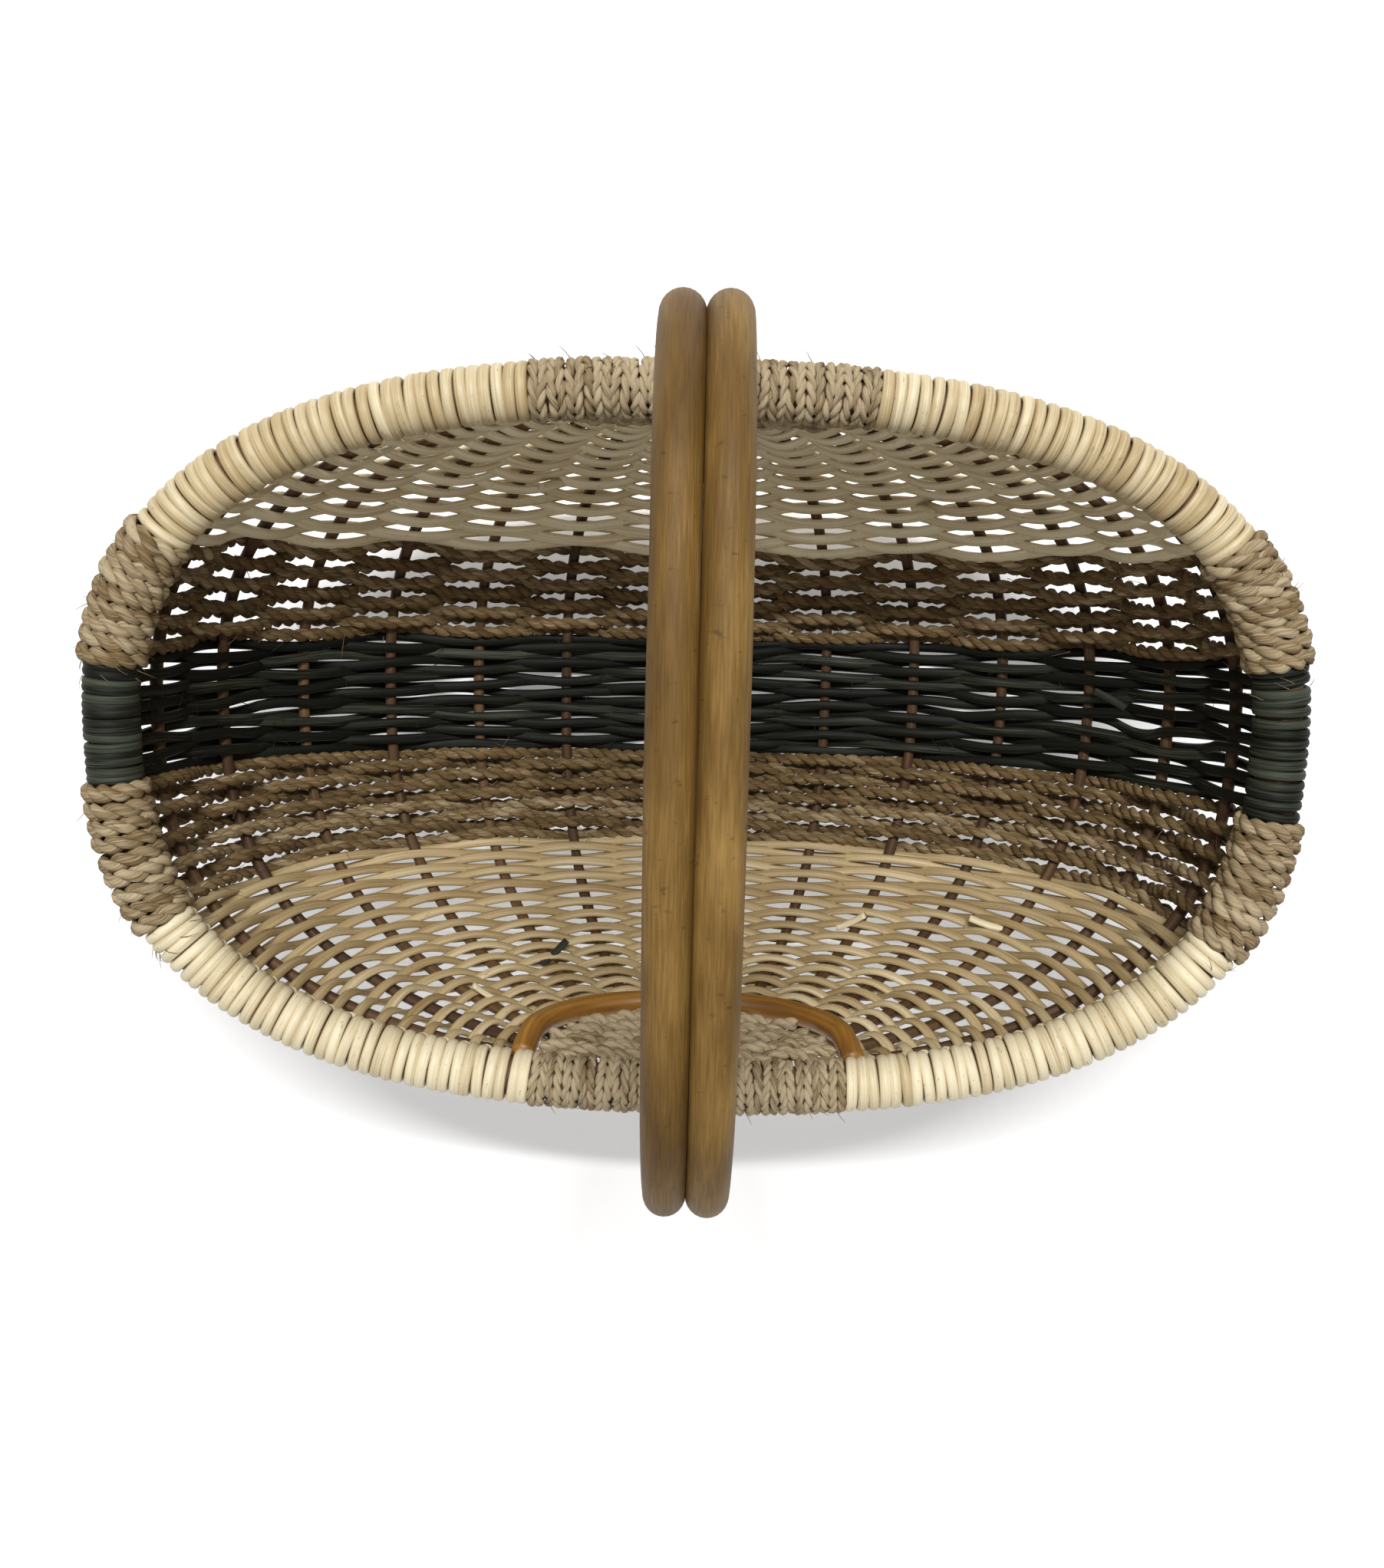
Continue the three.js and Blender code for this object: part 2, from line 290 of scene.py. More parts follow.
class Quarter:
    """A quarter of a rounded oblong, measured along its length.

    Args:
        half_length: how far it reaches along the first axis.
        half_width: how far it reaches along the second.
        exponent: 2 is an ellipse, and more is squarer.
    """

    def __init__(self, half_length: float, half_width: float, exponent: float) -> None:
        """Measures the curve."""
        angle = np.linspace(0, np.pi / 2, 6001)
        self.x = half_length * np.cos(angle).clip(0) ** (2 / exponent)
        self.y = half_width * np.sin(angle) ** (2 / exponent)
        steps = np.hypot(np.diff(self.x), np.diff(self.y))
        self.along = np.concatenate([[0], np.cumsum(steps)])
        self.length = float(self.along[-1])

    def at(self, distance: np.ndarray) -> tuple:
        """Returns the two coordinates this far along."""
        return np.interp(distance, self.along, self.x), np.interp(distance, self.along, self.y)

    def at_height(self, height: float) -> float:
        """Returns how far along the second coordinate reaches this."""
        return float(np.interp(height, self.y, self.along))

    def at_width(self, width: float) -> float:
        """Returns how far along the first coordinate falls to this."""
        return float(np.interp(-width, -self.x, self.along))


class Rim:
    """The rim's centreline, measured from its +X end, anticlockwise seen from above."""

    def __init__(self, form: Form) -> None:
        """Draws the rim of a basket of this form."""
        self.height = form.rim_height
        self.quarter = Quarter(form.rim_half_length, form.rim_half_width, form.rim_exponent)
        self.length = 4 * self.quarter.length

    def point(self, distance: np.ndarray) -> np.ndarray:
        """Finds points on the centreline.

        Args:
            distance: how far round the rim.

        Returns:
            The points.
        """
        distance = np.asarray(distance, dtype=float) % self.length
        index = np.minimum(3, (distance // self.quarter.length).astype(int))
        past = distance - index * self.quarter.length
        x, y = self.quarter.at(np.where(index % 2 == 1, self.quarter.length - past, past))
        x = np.where((index == 1) | (index == 2), -x, x)
        y = np.where(index > 1, -y, y)
        return np.stack([x, y, np.full_like(x, self.height)], axis=-1)

    def tangent(self, distance: np.ndarray) -> np.ndarray:
        """Returns the way along the rim."""
        return unit(self.point(np.asarray(distance) + 1.0) - self.point(np.asarray(distance) - 1.0))

    def outward(self, distance: np.ndarray) -> np.ndarray:
        """Returns the way out from the basket, level with the rim."""
        tangent = self.tangent(distance)
        level = np.zeros_like(tangent[..., 0])
        return np.stack([tangent[..., 1], -tangent[..., 0], level], axis=-1)

    def around(self, distance: np.ndarray, angle: np.ndarray, radius: float) -> np.ndarray:
        """Returns points on a tube round the rim.

        Args:
            distance: how far round the rim.
            angle: 0 is straight out, and a quarter turn is straight up.
            radius: how far from the centreline.

        Returns:
            The points.
        """
        out = self.outward(distance)
        up = np.array([0.0, 0.0, 1.0])
        angle = np.asarray(angle)[..., None]
        return self.point(distance) + radius * (np.cos(angle) * out + np.sin(angle) * up)

    def meets(self, across: float, end: End) -> float:
        """Returns how far round the rim it comes this far across the basket, at one end."""
        reach = np.sign(across) * self.quarter.at_height(abs(across))
        return float(reach if end is End.RIGHT else self.length / 2 - reach)


class Skin:
    """The middle of the weave, from rim to rim and from ear to ear."""

    def __init__(self, form: Form) -> None:
        """Draws the skin of a basket of this form."""
        self.form = form
        self.section = Quarter(form.rim_half_length, form.hollow_depth, form.section_exponent)
        self.length = 2 * self.section.length
        self.ear_turn = float(np.arccos(form.ear_scale ** (form.rim_exponent / 2)))

    def shrink(self, turn: np.ndarray) -> np.ndarray:
        """Returns the section's size at a turn, as a share of the middle section's."""
        return np.cos(turn).clip(1e-4) ** (2 / self.form.rim_exponent)

    def turn_at(self, across: np.ndarray) -> np.ndarray:
        """Returns the turn that lies this far across the basket."""
        share = np.abs(across) / self.form.rim_half_width
        return np.sign(across) * np.arcsin(share ** (self.form.rim_exponent / 2))

    def point(self, share: np.ndarray, turn: np.ndarray) -> np.ndarray:
        """Returns points on the skin.

        Args:
            share: 0 at the left rim and 1 at the right rim.
            turn: the angle round from the base, negative towards the near ear.

        Returns:
            The points.
        """
        share, turn = np.broadcast_arrays(np.asarray(share, float), np.asarray(turn, float))
        shrink = self.shrink(turn)
        power = 2 / self.form.rim_exponent
        across = np.sign(turn) * self.form.rim_half_width * np.abs(np.sin(turn)) ** power
        distance = share * self.length
        right = distance > self.section.length
        x, depth = self.section.at(np.where(right, self.length - distance, distance))
        depth = np.minimum(depth * shrink, self.form.hollow_depth * self.form.base_flat_share)
        x = np.where(right, x, -x) * shrink
        return np.stack([x, across, self.form.rim_height - depth], axis=-1)

    def sideways(self, share: np.ndarray, turn: np.ndarray) -> np.ndarray:
        """Returns the way across the strands, along the skin."""
        return unit(self.point(share, turn + 0.01) - self.point(share, turn - 0.01))

    def inward(self, share: np.ndarray, turn: np.ndarray) -> np.ndarray:
        """Finds the way into the hollow, square to the skin.

        Args:
            share: 0 at the left rim and 1 at the right rim.
            turn: the angle round from the base.

        Returns:
            The directions.
        """
        step = 0.006
        share = np.asarray(share)
        along = self.point(share + step, turn) - self.point(share - step, turn)
        return unit(np.cross(along, self.sideways(share, turn)))

    def edge_share(self, turn: np.ndarray) -> np.ndarray:
        """Returns the share of the section that the rim's wrapping takes at each end."""
        return self.form.skin_top / (self.length * self.shrink(turn))

    def woven_share(self, row: np.ndarray, turn: np.ndarray) -> np.ndarray:
        """Turns a share of the width between the wrapped rims into one of the whole section."""
        edge = self.edge_share(turn)
        return edge + row * (1 - 2 * edge)

    def rib_number(self, share: np.ndarray, turn: np.ndarray) -> np.ndarray:
        """Counts a place along the section in ribs.

        Args:
            share: 0 at the left rim and 1 at the right rim.
            turn: the angle round from the base.

        Returns:
            The place, where the first rib is 0.
        """
        edge = self.edge_share(turn)
        row = (share - edge) / (1 - 2 * edge)
        first = self.form.first_rib_share
        return (row - first) * (RIB_COUNT - 1) / (1 - 2 * first)

    def rows(self, low: float, high: float, pitch: float) -> np.ndarray:
        """Spaces strands evenly up the middle rib.

        Args:
            low: how far across the basket the rows start.
            high: how far across they stop.
            pitch: the spacing to come closest to.

        Returns:
            The rows' distances across the basket.
        """
        turns = np.linspace(self.turn_at(low), self.turn_at(high), 2000)
        line = self.point(np.full_like(turns, 0.5), turns)
        along = distances(line)
        count = max(1, round(along[-1] / pitch))
        return np.interp((np.arange(count) + 0.5) / count * along[-1], along, line[:, 1])


RIM = Rim(FORM)
SKIN = Skin(FORM)


# Strands


class Wander:
    """Seeded, smooth unevenness.

    Args:
        seed: the seed of this run of values.
    """

    def __init__(self, seed: int) -> None:
        """Starts the run."""
        self.random = np.random.default_rng(abs(seed))

    def wave(self, along: np.ndarray, height: float, length: float) -> np.ndarray:
        """Returns a smooth wander along a strand.

        Args:
            along: distances along the strand.
            height: about how far it wanders.
            length: about how far apart its swings are.

        Returns:
            How far it has wandered at each distance.
        """
        total = np.zeros_like(along, dtype=float)
        for _ in range(4):
            frequency = 2 * np.pi / (length * self.random.uniform(0.6, 1.7))
            total += np.sin(along * frequency + self.random.uniform(0, 2 * np.pi))
        return total * height / 2

    def near(self, value: float, spread: float) -> float:
        """Returns a number close to a value."""
        return float(value * (1 + self.random.normal(0, spread)))

    def pick(self, low: float, high: float) -> float:
        """Returns a number between two others."""
        return float(self.random.uniform(low, high))


@dataclass
class Strand:
    """One strand's path and section.

    Args:
        path: points along it.
        side: the direction of its width at each point.
        width: its width, one number or one per point.
        thickness: its thickness, one number or one per point.
        tone: a random number from 0 to 1 that its finish reads.
        light: how much lighter it is painted than its finish, one number or one per point; on the
            bands, rim turns and ears this is painted light and shade.
    """

    path: np.ndarray
    side: np.ndarray
    width: np.ndarray
    thickness: np.ndarray
    tone: float
    light: np.ndarray = 0.0

    def __post_init__(self) -> None:
        """Spreads single numbers along the strand."""
        count = len(self.path)
        self.width = np.broadcast_to(np.asarray(self.width, float), count)
        self.thickness = np.broadcast_to(np.asarray(self.thickness, float), count)
        self.light = np.broadcast_to(np.asarray(self.light, float), count)

    def frames(self) -> tuple[np.ndarray, np.ndarray]:
        """Returns the unit width and thickness directions, square to the path."""
        tangent = unit(np.gradient(self.path, axis=0))
        side = self.side - tangent * np.sum(self.side * tangent, axis=1, keepdims=True)
        side = unit(side)
        return side, np.cross(tangent, side)

    def finer(self, step: float) -> "Strand":
        """Resamples the strand.

        Args:
            step: about how far apart its points are to be.

        Returns:
            The same strand with new points.
        """
        count = int(distances(self.path)[-1] / step)
        keep = np.linspace(0, len(self.path) - 1, count)
        index = np.arange(len(self.path))
        path, side = sampled(keep, index, self.path), sampled(keep, index, self.side)
        width, thickness, light = (
            np.interp(keep, index, values) for values in (self.width, self.thickness, self.light)
        )
        return Strand(path, side, width, thickness, self.tone, light)

    def twisted(self, lay_length: float, wander: Wander) -> list["Strand"]:
        """Splits a rope into its two plies.

        Args:
            lay_length: how far along the rope a ply takes to go once round.
            wander: the unevenness of the plies, and where they start.

        Returns:
            The two plies.
        """
        side, face = self.frames()
        along = distances(self.path)
        start = wander.pick(0, FULL_TURN)
        plies = []
        for turn in (0.0, np.pi):
            angle = start + turn + 2 * np.pi * along / lay_length
            out = side * (np.cos(angle) * self.width * PLY_OFFSET)[:, None]
            out = out + face * (np.sin(angle) * self.thickness * PLY_OFFSET)[:, None]
            swell = 1 + wander.wave(along, *PLY_SWELL)
            tone = float(np.clip(self.tone + wander.random.normal(0, 0.10), 0, 1))
            width, thickness = (size * PLY_SIZE * swell for size in (self.width, self.thickness))
            plies.append(Strand(self.path + out, side, width, thickness, tone, self.light))
        return plies


@dataclass
class Bundle:
    """Strands that are drawn as one piece.

    Args:
        name: the piece's name.
        sides: how many sides each strand's section has.
    """

    name: str
    sides: int = 8
    strands: list[Strand] = field(default_factory=list)

    def add(self, *strands: Strand) -> None:
        """Adds strands."""
        self.strands.extend(strands)

    def build(self) -> bpy.types.Object:
        """Rolls one long grid into all the strands.

        Returns:
            The piece, in the scene.
        """
        # One grid holds every ring of every strand, so each of its rows is one ring.
        counts = [len(s.path) for s in self.strands]
        rings = sum(counts)
        first = np.cumsum([0, *counts])
        bm = bmesh.new()
        bmesh.ops.create_grid(bm, x_segments=rings - 1, y_segments=self.sides, size=0.5)
        mesh = bpy.data.meshes.new(self.name)
        bm.to_mesh(mesh)
        flat = np.empty(len(mesh.vertices) * 3, dtype=np.float32)
        mesh.vertices.foreach_get("co", flat)
        flat = flat.reshape(-1, 3)
        ring = np.rint((flat[:, 0] + 0.5) * (rings - 1)).astype(int)
        corner = np.rint((flat[:, 1] + 0.5) * self.sides).astype(int)

        # Each row is bent into its ring.
        centre = np.vstack([s.path for s in self.strands])
        framed = [s.frames() for s in self.strands]
        side = np.vstack([f[0] for f in framed])
        face = np.vstack([f[1] for f in framed])
        half_width = np.concatenate([s.width for s in self.strands]) / 2
        half_thick = np.concatenate([s.thickness for s in self.strands]) / 2
        angle = 2 * np.pi * (corner % self.sides) / self.sides
        place = centre[ring]
        place = place + side[ring] * (half_width[ring] * np.cos(angle))[:, None]
        place = place + face[ring] * (half_thick[ring] * np.sin(angle))[:, None]
        mesh.vertices.foreach_set("co", (place * MM).astype(np.float32).ravel())

        along = np.concatenate([distances(s.path) for s in self.strands])
        tone = np.concatenate([np.full(len(s.path), s.tone) for s in self.strands])
        light = np.concatenate([s.light for s in self.strands])
        # The "light" attribute carries painted light and shade to the shader.
        for key, values in (("tone", tone), ("light", light)):
            layer = mesh.attributes.new(key, "FLOAT", "POINT")
            layer.data.foreach_set("value", values[ring].astype(np.float32))
        uv = mesh.uv_layers.new(name="strand")
        loops = np.empty(len(mesh.loops), dtype=np.int32)
        mesh.loops.foreach_get("vertex_index", loops)
        values = np.stack([along[ring[loops]] * MM, corner[loops] / self.sides], axis=1)
        uv.data.foreach_set("uv", values.astype(np.float32).ravel())

        # The grid is cut between strands, and each tube is closed along its seam and at its ends.
        bm.free()
        bm = bmesh.new()
        bm.from_mesh(mesh)
        strand_of = np.searchsorted(first, ring, side="right") - 1
        doomed = [f for f in bm.faces if len({int(strand_of[v.index]) for v in f.verts}) > 1]
        bmesh.ops.delete(bm, geom=doomed, context="FACES_ONLY")
        loose = [e for e in bm.edges if not e.link_faces]
        bmesh.ops.delete(bm, geom=loose, context="EDGES")
        seam = [v for v in bm.verts if len(v.link_faces) < 4]
        bmesh.ops.remove_doubles(bm, verts=seam, dist=1e-7)
        ends = [e for e in bm.edges if e.is_boundary]
        bmesh.ops.holes_fill(bm, edges=ends, sides=self.sides)
        bmesh.ops.recalc_face_normals(bm, faces=bm.faces)
        bm.to_mesh(mesh)
        bm.free()
        mesh.shade_smooth()
        piece = bpy.data.objects.new(self.name, mesh)
        bpy.context.scene.collection.objects.link(piece)
        metres = sum(distances(s.path)[-1] for s in self.strands) * MM
        faces = len(mesh.polygons)
        LOG.info("%s: %d strands, %.2f m, %d faces", self.name, len(self.strands), metres, faces)
        return piece


# The woven bands


@dataclass
class Weaver:
    """One strand that is woven from rim to rim and turned round the rim pole at both ends.

    Args:
        across: how far across the basket it runs, in the middle.
        ends: how far across it has strayed to at the left end and at the right end.
        number: its place in the weave, which says on which side of each rib it runs.
        lay: its size.
        wrap: the size of its turn round the rim pole.
        slots: where it turns round the rim at the left end and at the right end.
        light: how much lighter it is painted than its finish, in the weave: painted light and
            shade.
        wrap_light: how much lighter its turns round the rim are painted than that: painted light
            and shade on the rim.
    """

    across: float
    ends: dict[End, float]
    number: int
    lay: Lay
    wrap: Lay
    slots: dict[End, float]
    light: float
    wrap_light: float

    def turns(self, share: np.ndarray) -> np.ndarray:
        """Finds the turns it runs at, which stray from the middle's towards the ends.

        Args:
            share: 0 at the left rim and 1 at the right rim.

        Returns:
            The turns.
        """
        middle = SKIN.turn_at(self.across)
        left, right = (SKIN.turn_at(self.ends[end]) for end in End)
        stray = np.abs(2 * share - 1) ** 2.2
        return middle + (np.where(share < 0.5, left, right) - middle) * stray

    def strand(self) -> Strand:
        """Weaves the strand.

        Returns:
            The strand, from the end of one turn round the rim to the end of the other.
        """
        wander = Wander(SEED + 977 * self.number)
        length = SKIN.length * float(SKIN.shrink(SKIN.turn_at(self.across)))
        margin = WEAVE_MARGIN / length
        share = np.linspace(margin, 1 - margin, max(40, int(length / WEAVER_STEP)))
        along = share * length
        drift = wander.wave(along, self.lay.stray, STRAY_LENGTH) / length
        turns = self.turns(share) + drift * 1.6
        number = SKIN.rib_number(share, turns)
        swing = np.cos(np.pi * (number + self.number))
        height = FORM.rib_radius + self.lay.thickness / 2 - RIB_PRESS
        lift = height * np.sign(swing) * np.abs(swing) ** 0.85 + wander.wave(along, *LIFT_WANDER)
        inward = SKIN.inward(share, turns)
        middle = SKIN.point(share, turns) + inward * lift[:, None]
        middle[:, 2] = np.maximum(middle[:, 2], self.lay.thickness / 2)
        side = SKIN.sideways(share, turns)

        width = self.lay.width * (1 - RIB_PINCH * swing**2) + wander.wave(along, *WIDTH_WANDER)
        thick = self.lay.thickness * (1 + wander.wave(along, *THICKNESS_SWELL))
        inner = lift > 0
        left, left_side = self.turn_round(End.LEFT, middle[:2], side[0], inner[0], wander)
        right, right_side = self.turn_round(End.RIGHT, middle[:-3:-1], side[-1], inner[-1], wander)
        path = np.vstack([left[::-1], middle, right])
        sides = np.vstack([left_side[::-1], side, right_side])

        def joined(woven: np.ndarray, start: float, stop: float, steps: int) -> np.ndarray:
            """Puts a size on the woven part and lets it change from start to stop on both turns."""
            turn = held(np.linspace(start, stop, steps), len(left))
            return np.concatenate([turn[::-1], woven, turn])

        widths = joined(width, self.lay.width, self.wrap.width, 12)
        thicks = joined(thick, self.lay.thickness, self.wrap.thickness, 12)
        # Painted light and shade: the weave's offset, moving to the rim turns' painted light over
        # the first six points of each turn.
        light = self.light + joined(np.zeros(len(width)), 0, self.wrap_light, 6)
        return Strand(path, sides, widths, thicks, wander.pick(0.1, 0.9), light)

    def turn_round(
        self, end: End, last: np.ndarray, side: np.ndarray, inner: bool, wander: Wander
    ) -> tuple[np.ndarray, np.ndarray]:
        """Carries the strand from the weave round the rim pole.

        Args:
            end: which end of the basket.
            last: the woven part's last two points, the nearest to the rim first.
            side: the direction of its width there.
            inner: whether it comes up inside the rim pole or outside it.
            wander: its unevenness.

        Returns:
            The points of the turn and the direction of the width at each.
        """
        slot = self.slots[end]
        radius = FORM.pole_radius + self.wrap.thickness / 2 + WOVEN_CLEARANCE
        angle = np.linspace(*(INNER_TURN if inner else OUTER_TURN), WOVEN_POINTS)
        slant = np.linspace(-0.5, 0.5, WOVEN_POINTS) * wander.near(1.2, 0.4)
        ring = RIM.around(slot + slant, angle, radius)
        gap = np.linalg.norm(ring[0] - last[0])
        way = unit(last[0] - last[1])
        lead = cubic(last[0], way * gap, ring[0], np.array([0, 0, 1.0]) * gap, 5)
        along_rim = RIM.tangent(slot)
        along_rim = along_rim * (1.0 if float(np.dot(along_rim, side)) > 0 else -1.0)
        blend = np.linspace(0, 1, 7)[1:-1, None]
        lead_side = unit(side * (1 - blend) + along_rim * blend)
        return np.vstack([lead, ring]), np.vstack([lead_side, np.tile(along_rim, (len(ring), 1))])


def wrap_turn(slot: float, lay: Lay, light: float, wander: Wander) -> Strand:
    """Makes one turn of wrapping that isn't woven in.

    Args:
        slot: how far round the rim its middle is.
        lay: its size.
        light: how much lighter it is painted than its finish: the band's painted light and shade on
            the rim.
        wander: its unevenness.

    Returns:
        The turn.
    """
    radius = FORM.pole_radius + lay.thickness / 2 + SPARE_CLEARANCE
    slant = np.linspace(-0.5, 0.5, SPARE_POINTS) * wander.near(lay.pitch * 0.5, 0.4)
    path = RIM.around(slot + slant, np.linspace(*SPARE_TURN, SPARE_POINTS), radius)
    side = np.tile(RIM.tangent(slot), (len(path), 1))
    tone = wander.pick(0.1, 0.9)
    return Strand(path, side, wander.near(lay.width, 0.03), lay.thickness, tone, light)


@dataclass(frozen=True)
class Edge:
    """Where two bands meet, as distances across the basket.

    Args:
        middle: in the middle of the basket.
        woven: in the weave at its left end and at its right end.
        wrapped: on the rim at the left end and at the right end.
    """

    middle: float
    woven: tuple[float, float]
    wrapped: tuple[float, float]

    def weave_at(self, end: End) -> float:
        """Returns where they meet in the weave, just inside the rim at one end."""
        return self.woven[end is End.RIGHT]

    def rim_at(self, end: End) -> float:
        """Returns where they meet on the rim at one end."""
        return self.wrapped[end is End.RIGHT]


class Band:
    """One band of the weave: its strands, and the turns that fill the rim between them.

    Args:
        low: where it starts.
        high: where it stops.
        lay: the size of its strands.
        wrap: the size of their turns round the rim.
        first_number: the place in the weave of its first strand.
        light: how much lighter the weave is painted than its finish: painted light and shade.
        wrap_light: how much lighter the turns are painted than the weave: painted light and shade
            on the rim.
    """

    def __init__(
        self,
        low: Edge,
        high: Edge,
        lay: Lay,
        wrap: Lay,
        first_number: int,
        light: float,
        wrap_light: float,
    ) -> None:
        """Spaces the strands out and shares the rim between them."""
        self.wrap = wrap
        # The spare rim turns carry the band's painted light and shade of the rim.
        self.light = light + wrap_light
        self.spare: dict[End, list[float]] = {}
        rows = SKIN.rows(low.middle, high.middle, lay.pitch)
        share = (rows - low.middle) / (high.middle - low.middle)
        ends = {e: low.weave_at(e) + share * (high.weave_at(e) - low.weave_at(e)) for e in End}
        wanted = {e: low.rim_at(e) + share * (high.rim_at(e) - low.rim_at(e)) for e in End}
        slots = {e: self.fill_rim(wanted[e], low.rim_at(e), high.rim_at(e), e) for e in End}
        self.weavers = []
        for i, across in enumerate(rows):
            strayed = {end: float(ends[end][i]) for end in End}
            slot = {end: slots[end][i] for end in End}
            place = (float(across), strayed, first_number + i)
            self.weavers.append(Weaver(*place, lay, wrap, slot, light, wrap_light))

    def fill_rim(self, rows: np.ndarray, low: float, high: float, end: End) -> list[float]:
        """Shares the rim out between the strands that come up to it and the turns between them.

        Args:
            rows: how far across the basket each strand runs.
            low: where the band starts.
            high: where it stops.
            end: which end of the basket.

        Returns:
            The place round the rim of each strand's turn.
        """
        start, stop = RIM.meets(low, end), RIM.meets(self.rim_stop(high), end)
        count = max(len(rows), round(abs(stop - start) / self.wrap.pitch))
        slots = start + (np.arange(count) + 0.5) / count * (stop - start)
        slots = slots + Wander(SEED + round(abs(start))).random.normal(0, 0.3, count)
        taken: list[int] = []
        for row in rows:
            wanted = RIM.meets(float(row), end)
            free = [i for i in range(count) if i not in taken]
            taken.append(min(free, key=lambda i: abs(slots[i] - wanted)))
        taken.sort(key=lambda i: abs(slots[i] - slots[0]))
        self.spare[end] = [float(slots[i]) for i in range(count) if i not in taken]
        return [float(slots[i]) for i in taken]

    def rim_stop(self, high: float) -> float:
        """Finds where the band's wrapping stops, which is short of the ear's.

        Args:
            high: how far across the band stops.

        Returns:
            How far across its wrapping stops.
        """
        if abs(high) < EAR_ACROSS - 1.0:
            return high
        edge = RIM.quarter.at_width(FORM.ear_wrap_half_length)
        return float(np.sign(high) * np.interp(edge, RIM.quarter.along, RIM.quarter.y))


EAR_ACROSS = float(abs(SKIN.point(0.5, SKIN.ear_turn)[1]))


class Weave:
    """All the woven bands, one piece for each, with the wrapping that each leaves on the rim."""

    def __init__(self) -> None:
        """Lays the bands out. The two sides differ in size, as the basket's do, and in their
        painted light and shade.
        """
        half, rope = FORM.reed_half_width, FORM.rope_edge
        reed_edge = {
            Side.NEAR: Edge(-half, (-17.0, -21.0), (-16.0, -20.0)),
            Side.FAR: Edge(half, (34.0, 42.0), (33.0, 43.0)),
        }
        rope_edge = {
            Side.NEAR: Edge(-rope, (-76.0, -78.0), (-76.0, -76.0)),
            Side.FAR: Edge(rope, (82.0, 86.0), (84.0, 88.0)),
        }
        # The reed is painted a little darker in the weave and lighter on its rim turns: painted
        # shade and painted light.
        self.reed = Band(reed_edge[Side.NEAR], reed_edge[Side.FAR], REED, REED_WRAP, 0, -0.05, 0.25)
        self.rope = {}
        self.cane = {}
        for side in Side:
            ear = side.value * EAR_ACROSS
            cane_edge = Edge(ear, (ear, ear), (ear, ear))
            far = side is Side.FAR
            cane = FAR_CANE if far else NEAR_CANE
            # Painted light and shade for each side: the far cane is painted lighter where the key
            # light only grazes it, the near cane and near rope a little darker, and the rim turns
            # lighter than the finish, the near rim's most.
            light = 0.36 if far else -0.10
            painted_rope_light = 0.0 if far else -0.03
            wrap_light = (0.10 if far else 0.34) - light
            inner, outer = reed_edge[side], rope_edge[side]
            self.rope[side] = Band(inner, outer, ROPE, ROPE_WRAP, 40, painted_rope_light, 0.24)
            self.cane[side] = Band(outer, cane_edge, cane, CANE_WRAP, 80, light, wrap_light)

    def single(self, band: Band, name: str) -> Bundle:
        """Gathers a band of single strands."""
        return Bundle(name, 8, [weaver.strand() for weaver in band.weavers])

    def spare(self, band: Band, end: End, name: str) -> Bundle:
        """Gathers the turns that fill the rim between a band's strands.

        Args:
            band: the band.
            end: which end of the basket.
            name: the piece's name.

        Returns:
            The turns.
        """
        wander = Wander(SEED + len(name) + 31 * end.value)
        turns = [wrap_turn(slot, band.wrap, band.light, wander) for slot in band.spare[end]]
        return Bundle(name, 10, turns)

    def ropes(self, band: Band, name: str) -> Bundle:
        """Gathers a band of twisted ropes.

        Args:
            band: the band.
            name: the piece's name.

        Returns:
            The plies of its ropes.
        """
        bundle = Bundle(name, 7)
        for weaver in band.weavers:
            wander = Wander(SEED + 13 * weaver.number + int(weaver.across))
            rope = weaver.strand().finer(ROPE_STEP)
            bundle.add(*rope.twisted(wander.near(ROPE_TWIST, 0.12), wander))
        return bundle


# Loose ends


def fibre(path: np.ndarray, side: np.ndarray) -> Strand:
    """Makes a fine fibre that thins towards its tip."""
    width = np.linspace(*FIBRE_WIDTHS, FIBRE_POINTS)
    return Strand(path, np.tile(side, (FIBRE_POINTS, 1)), width, width, 0.5, 0.1)


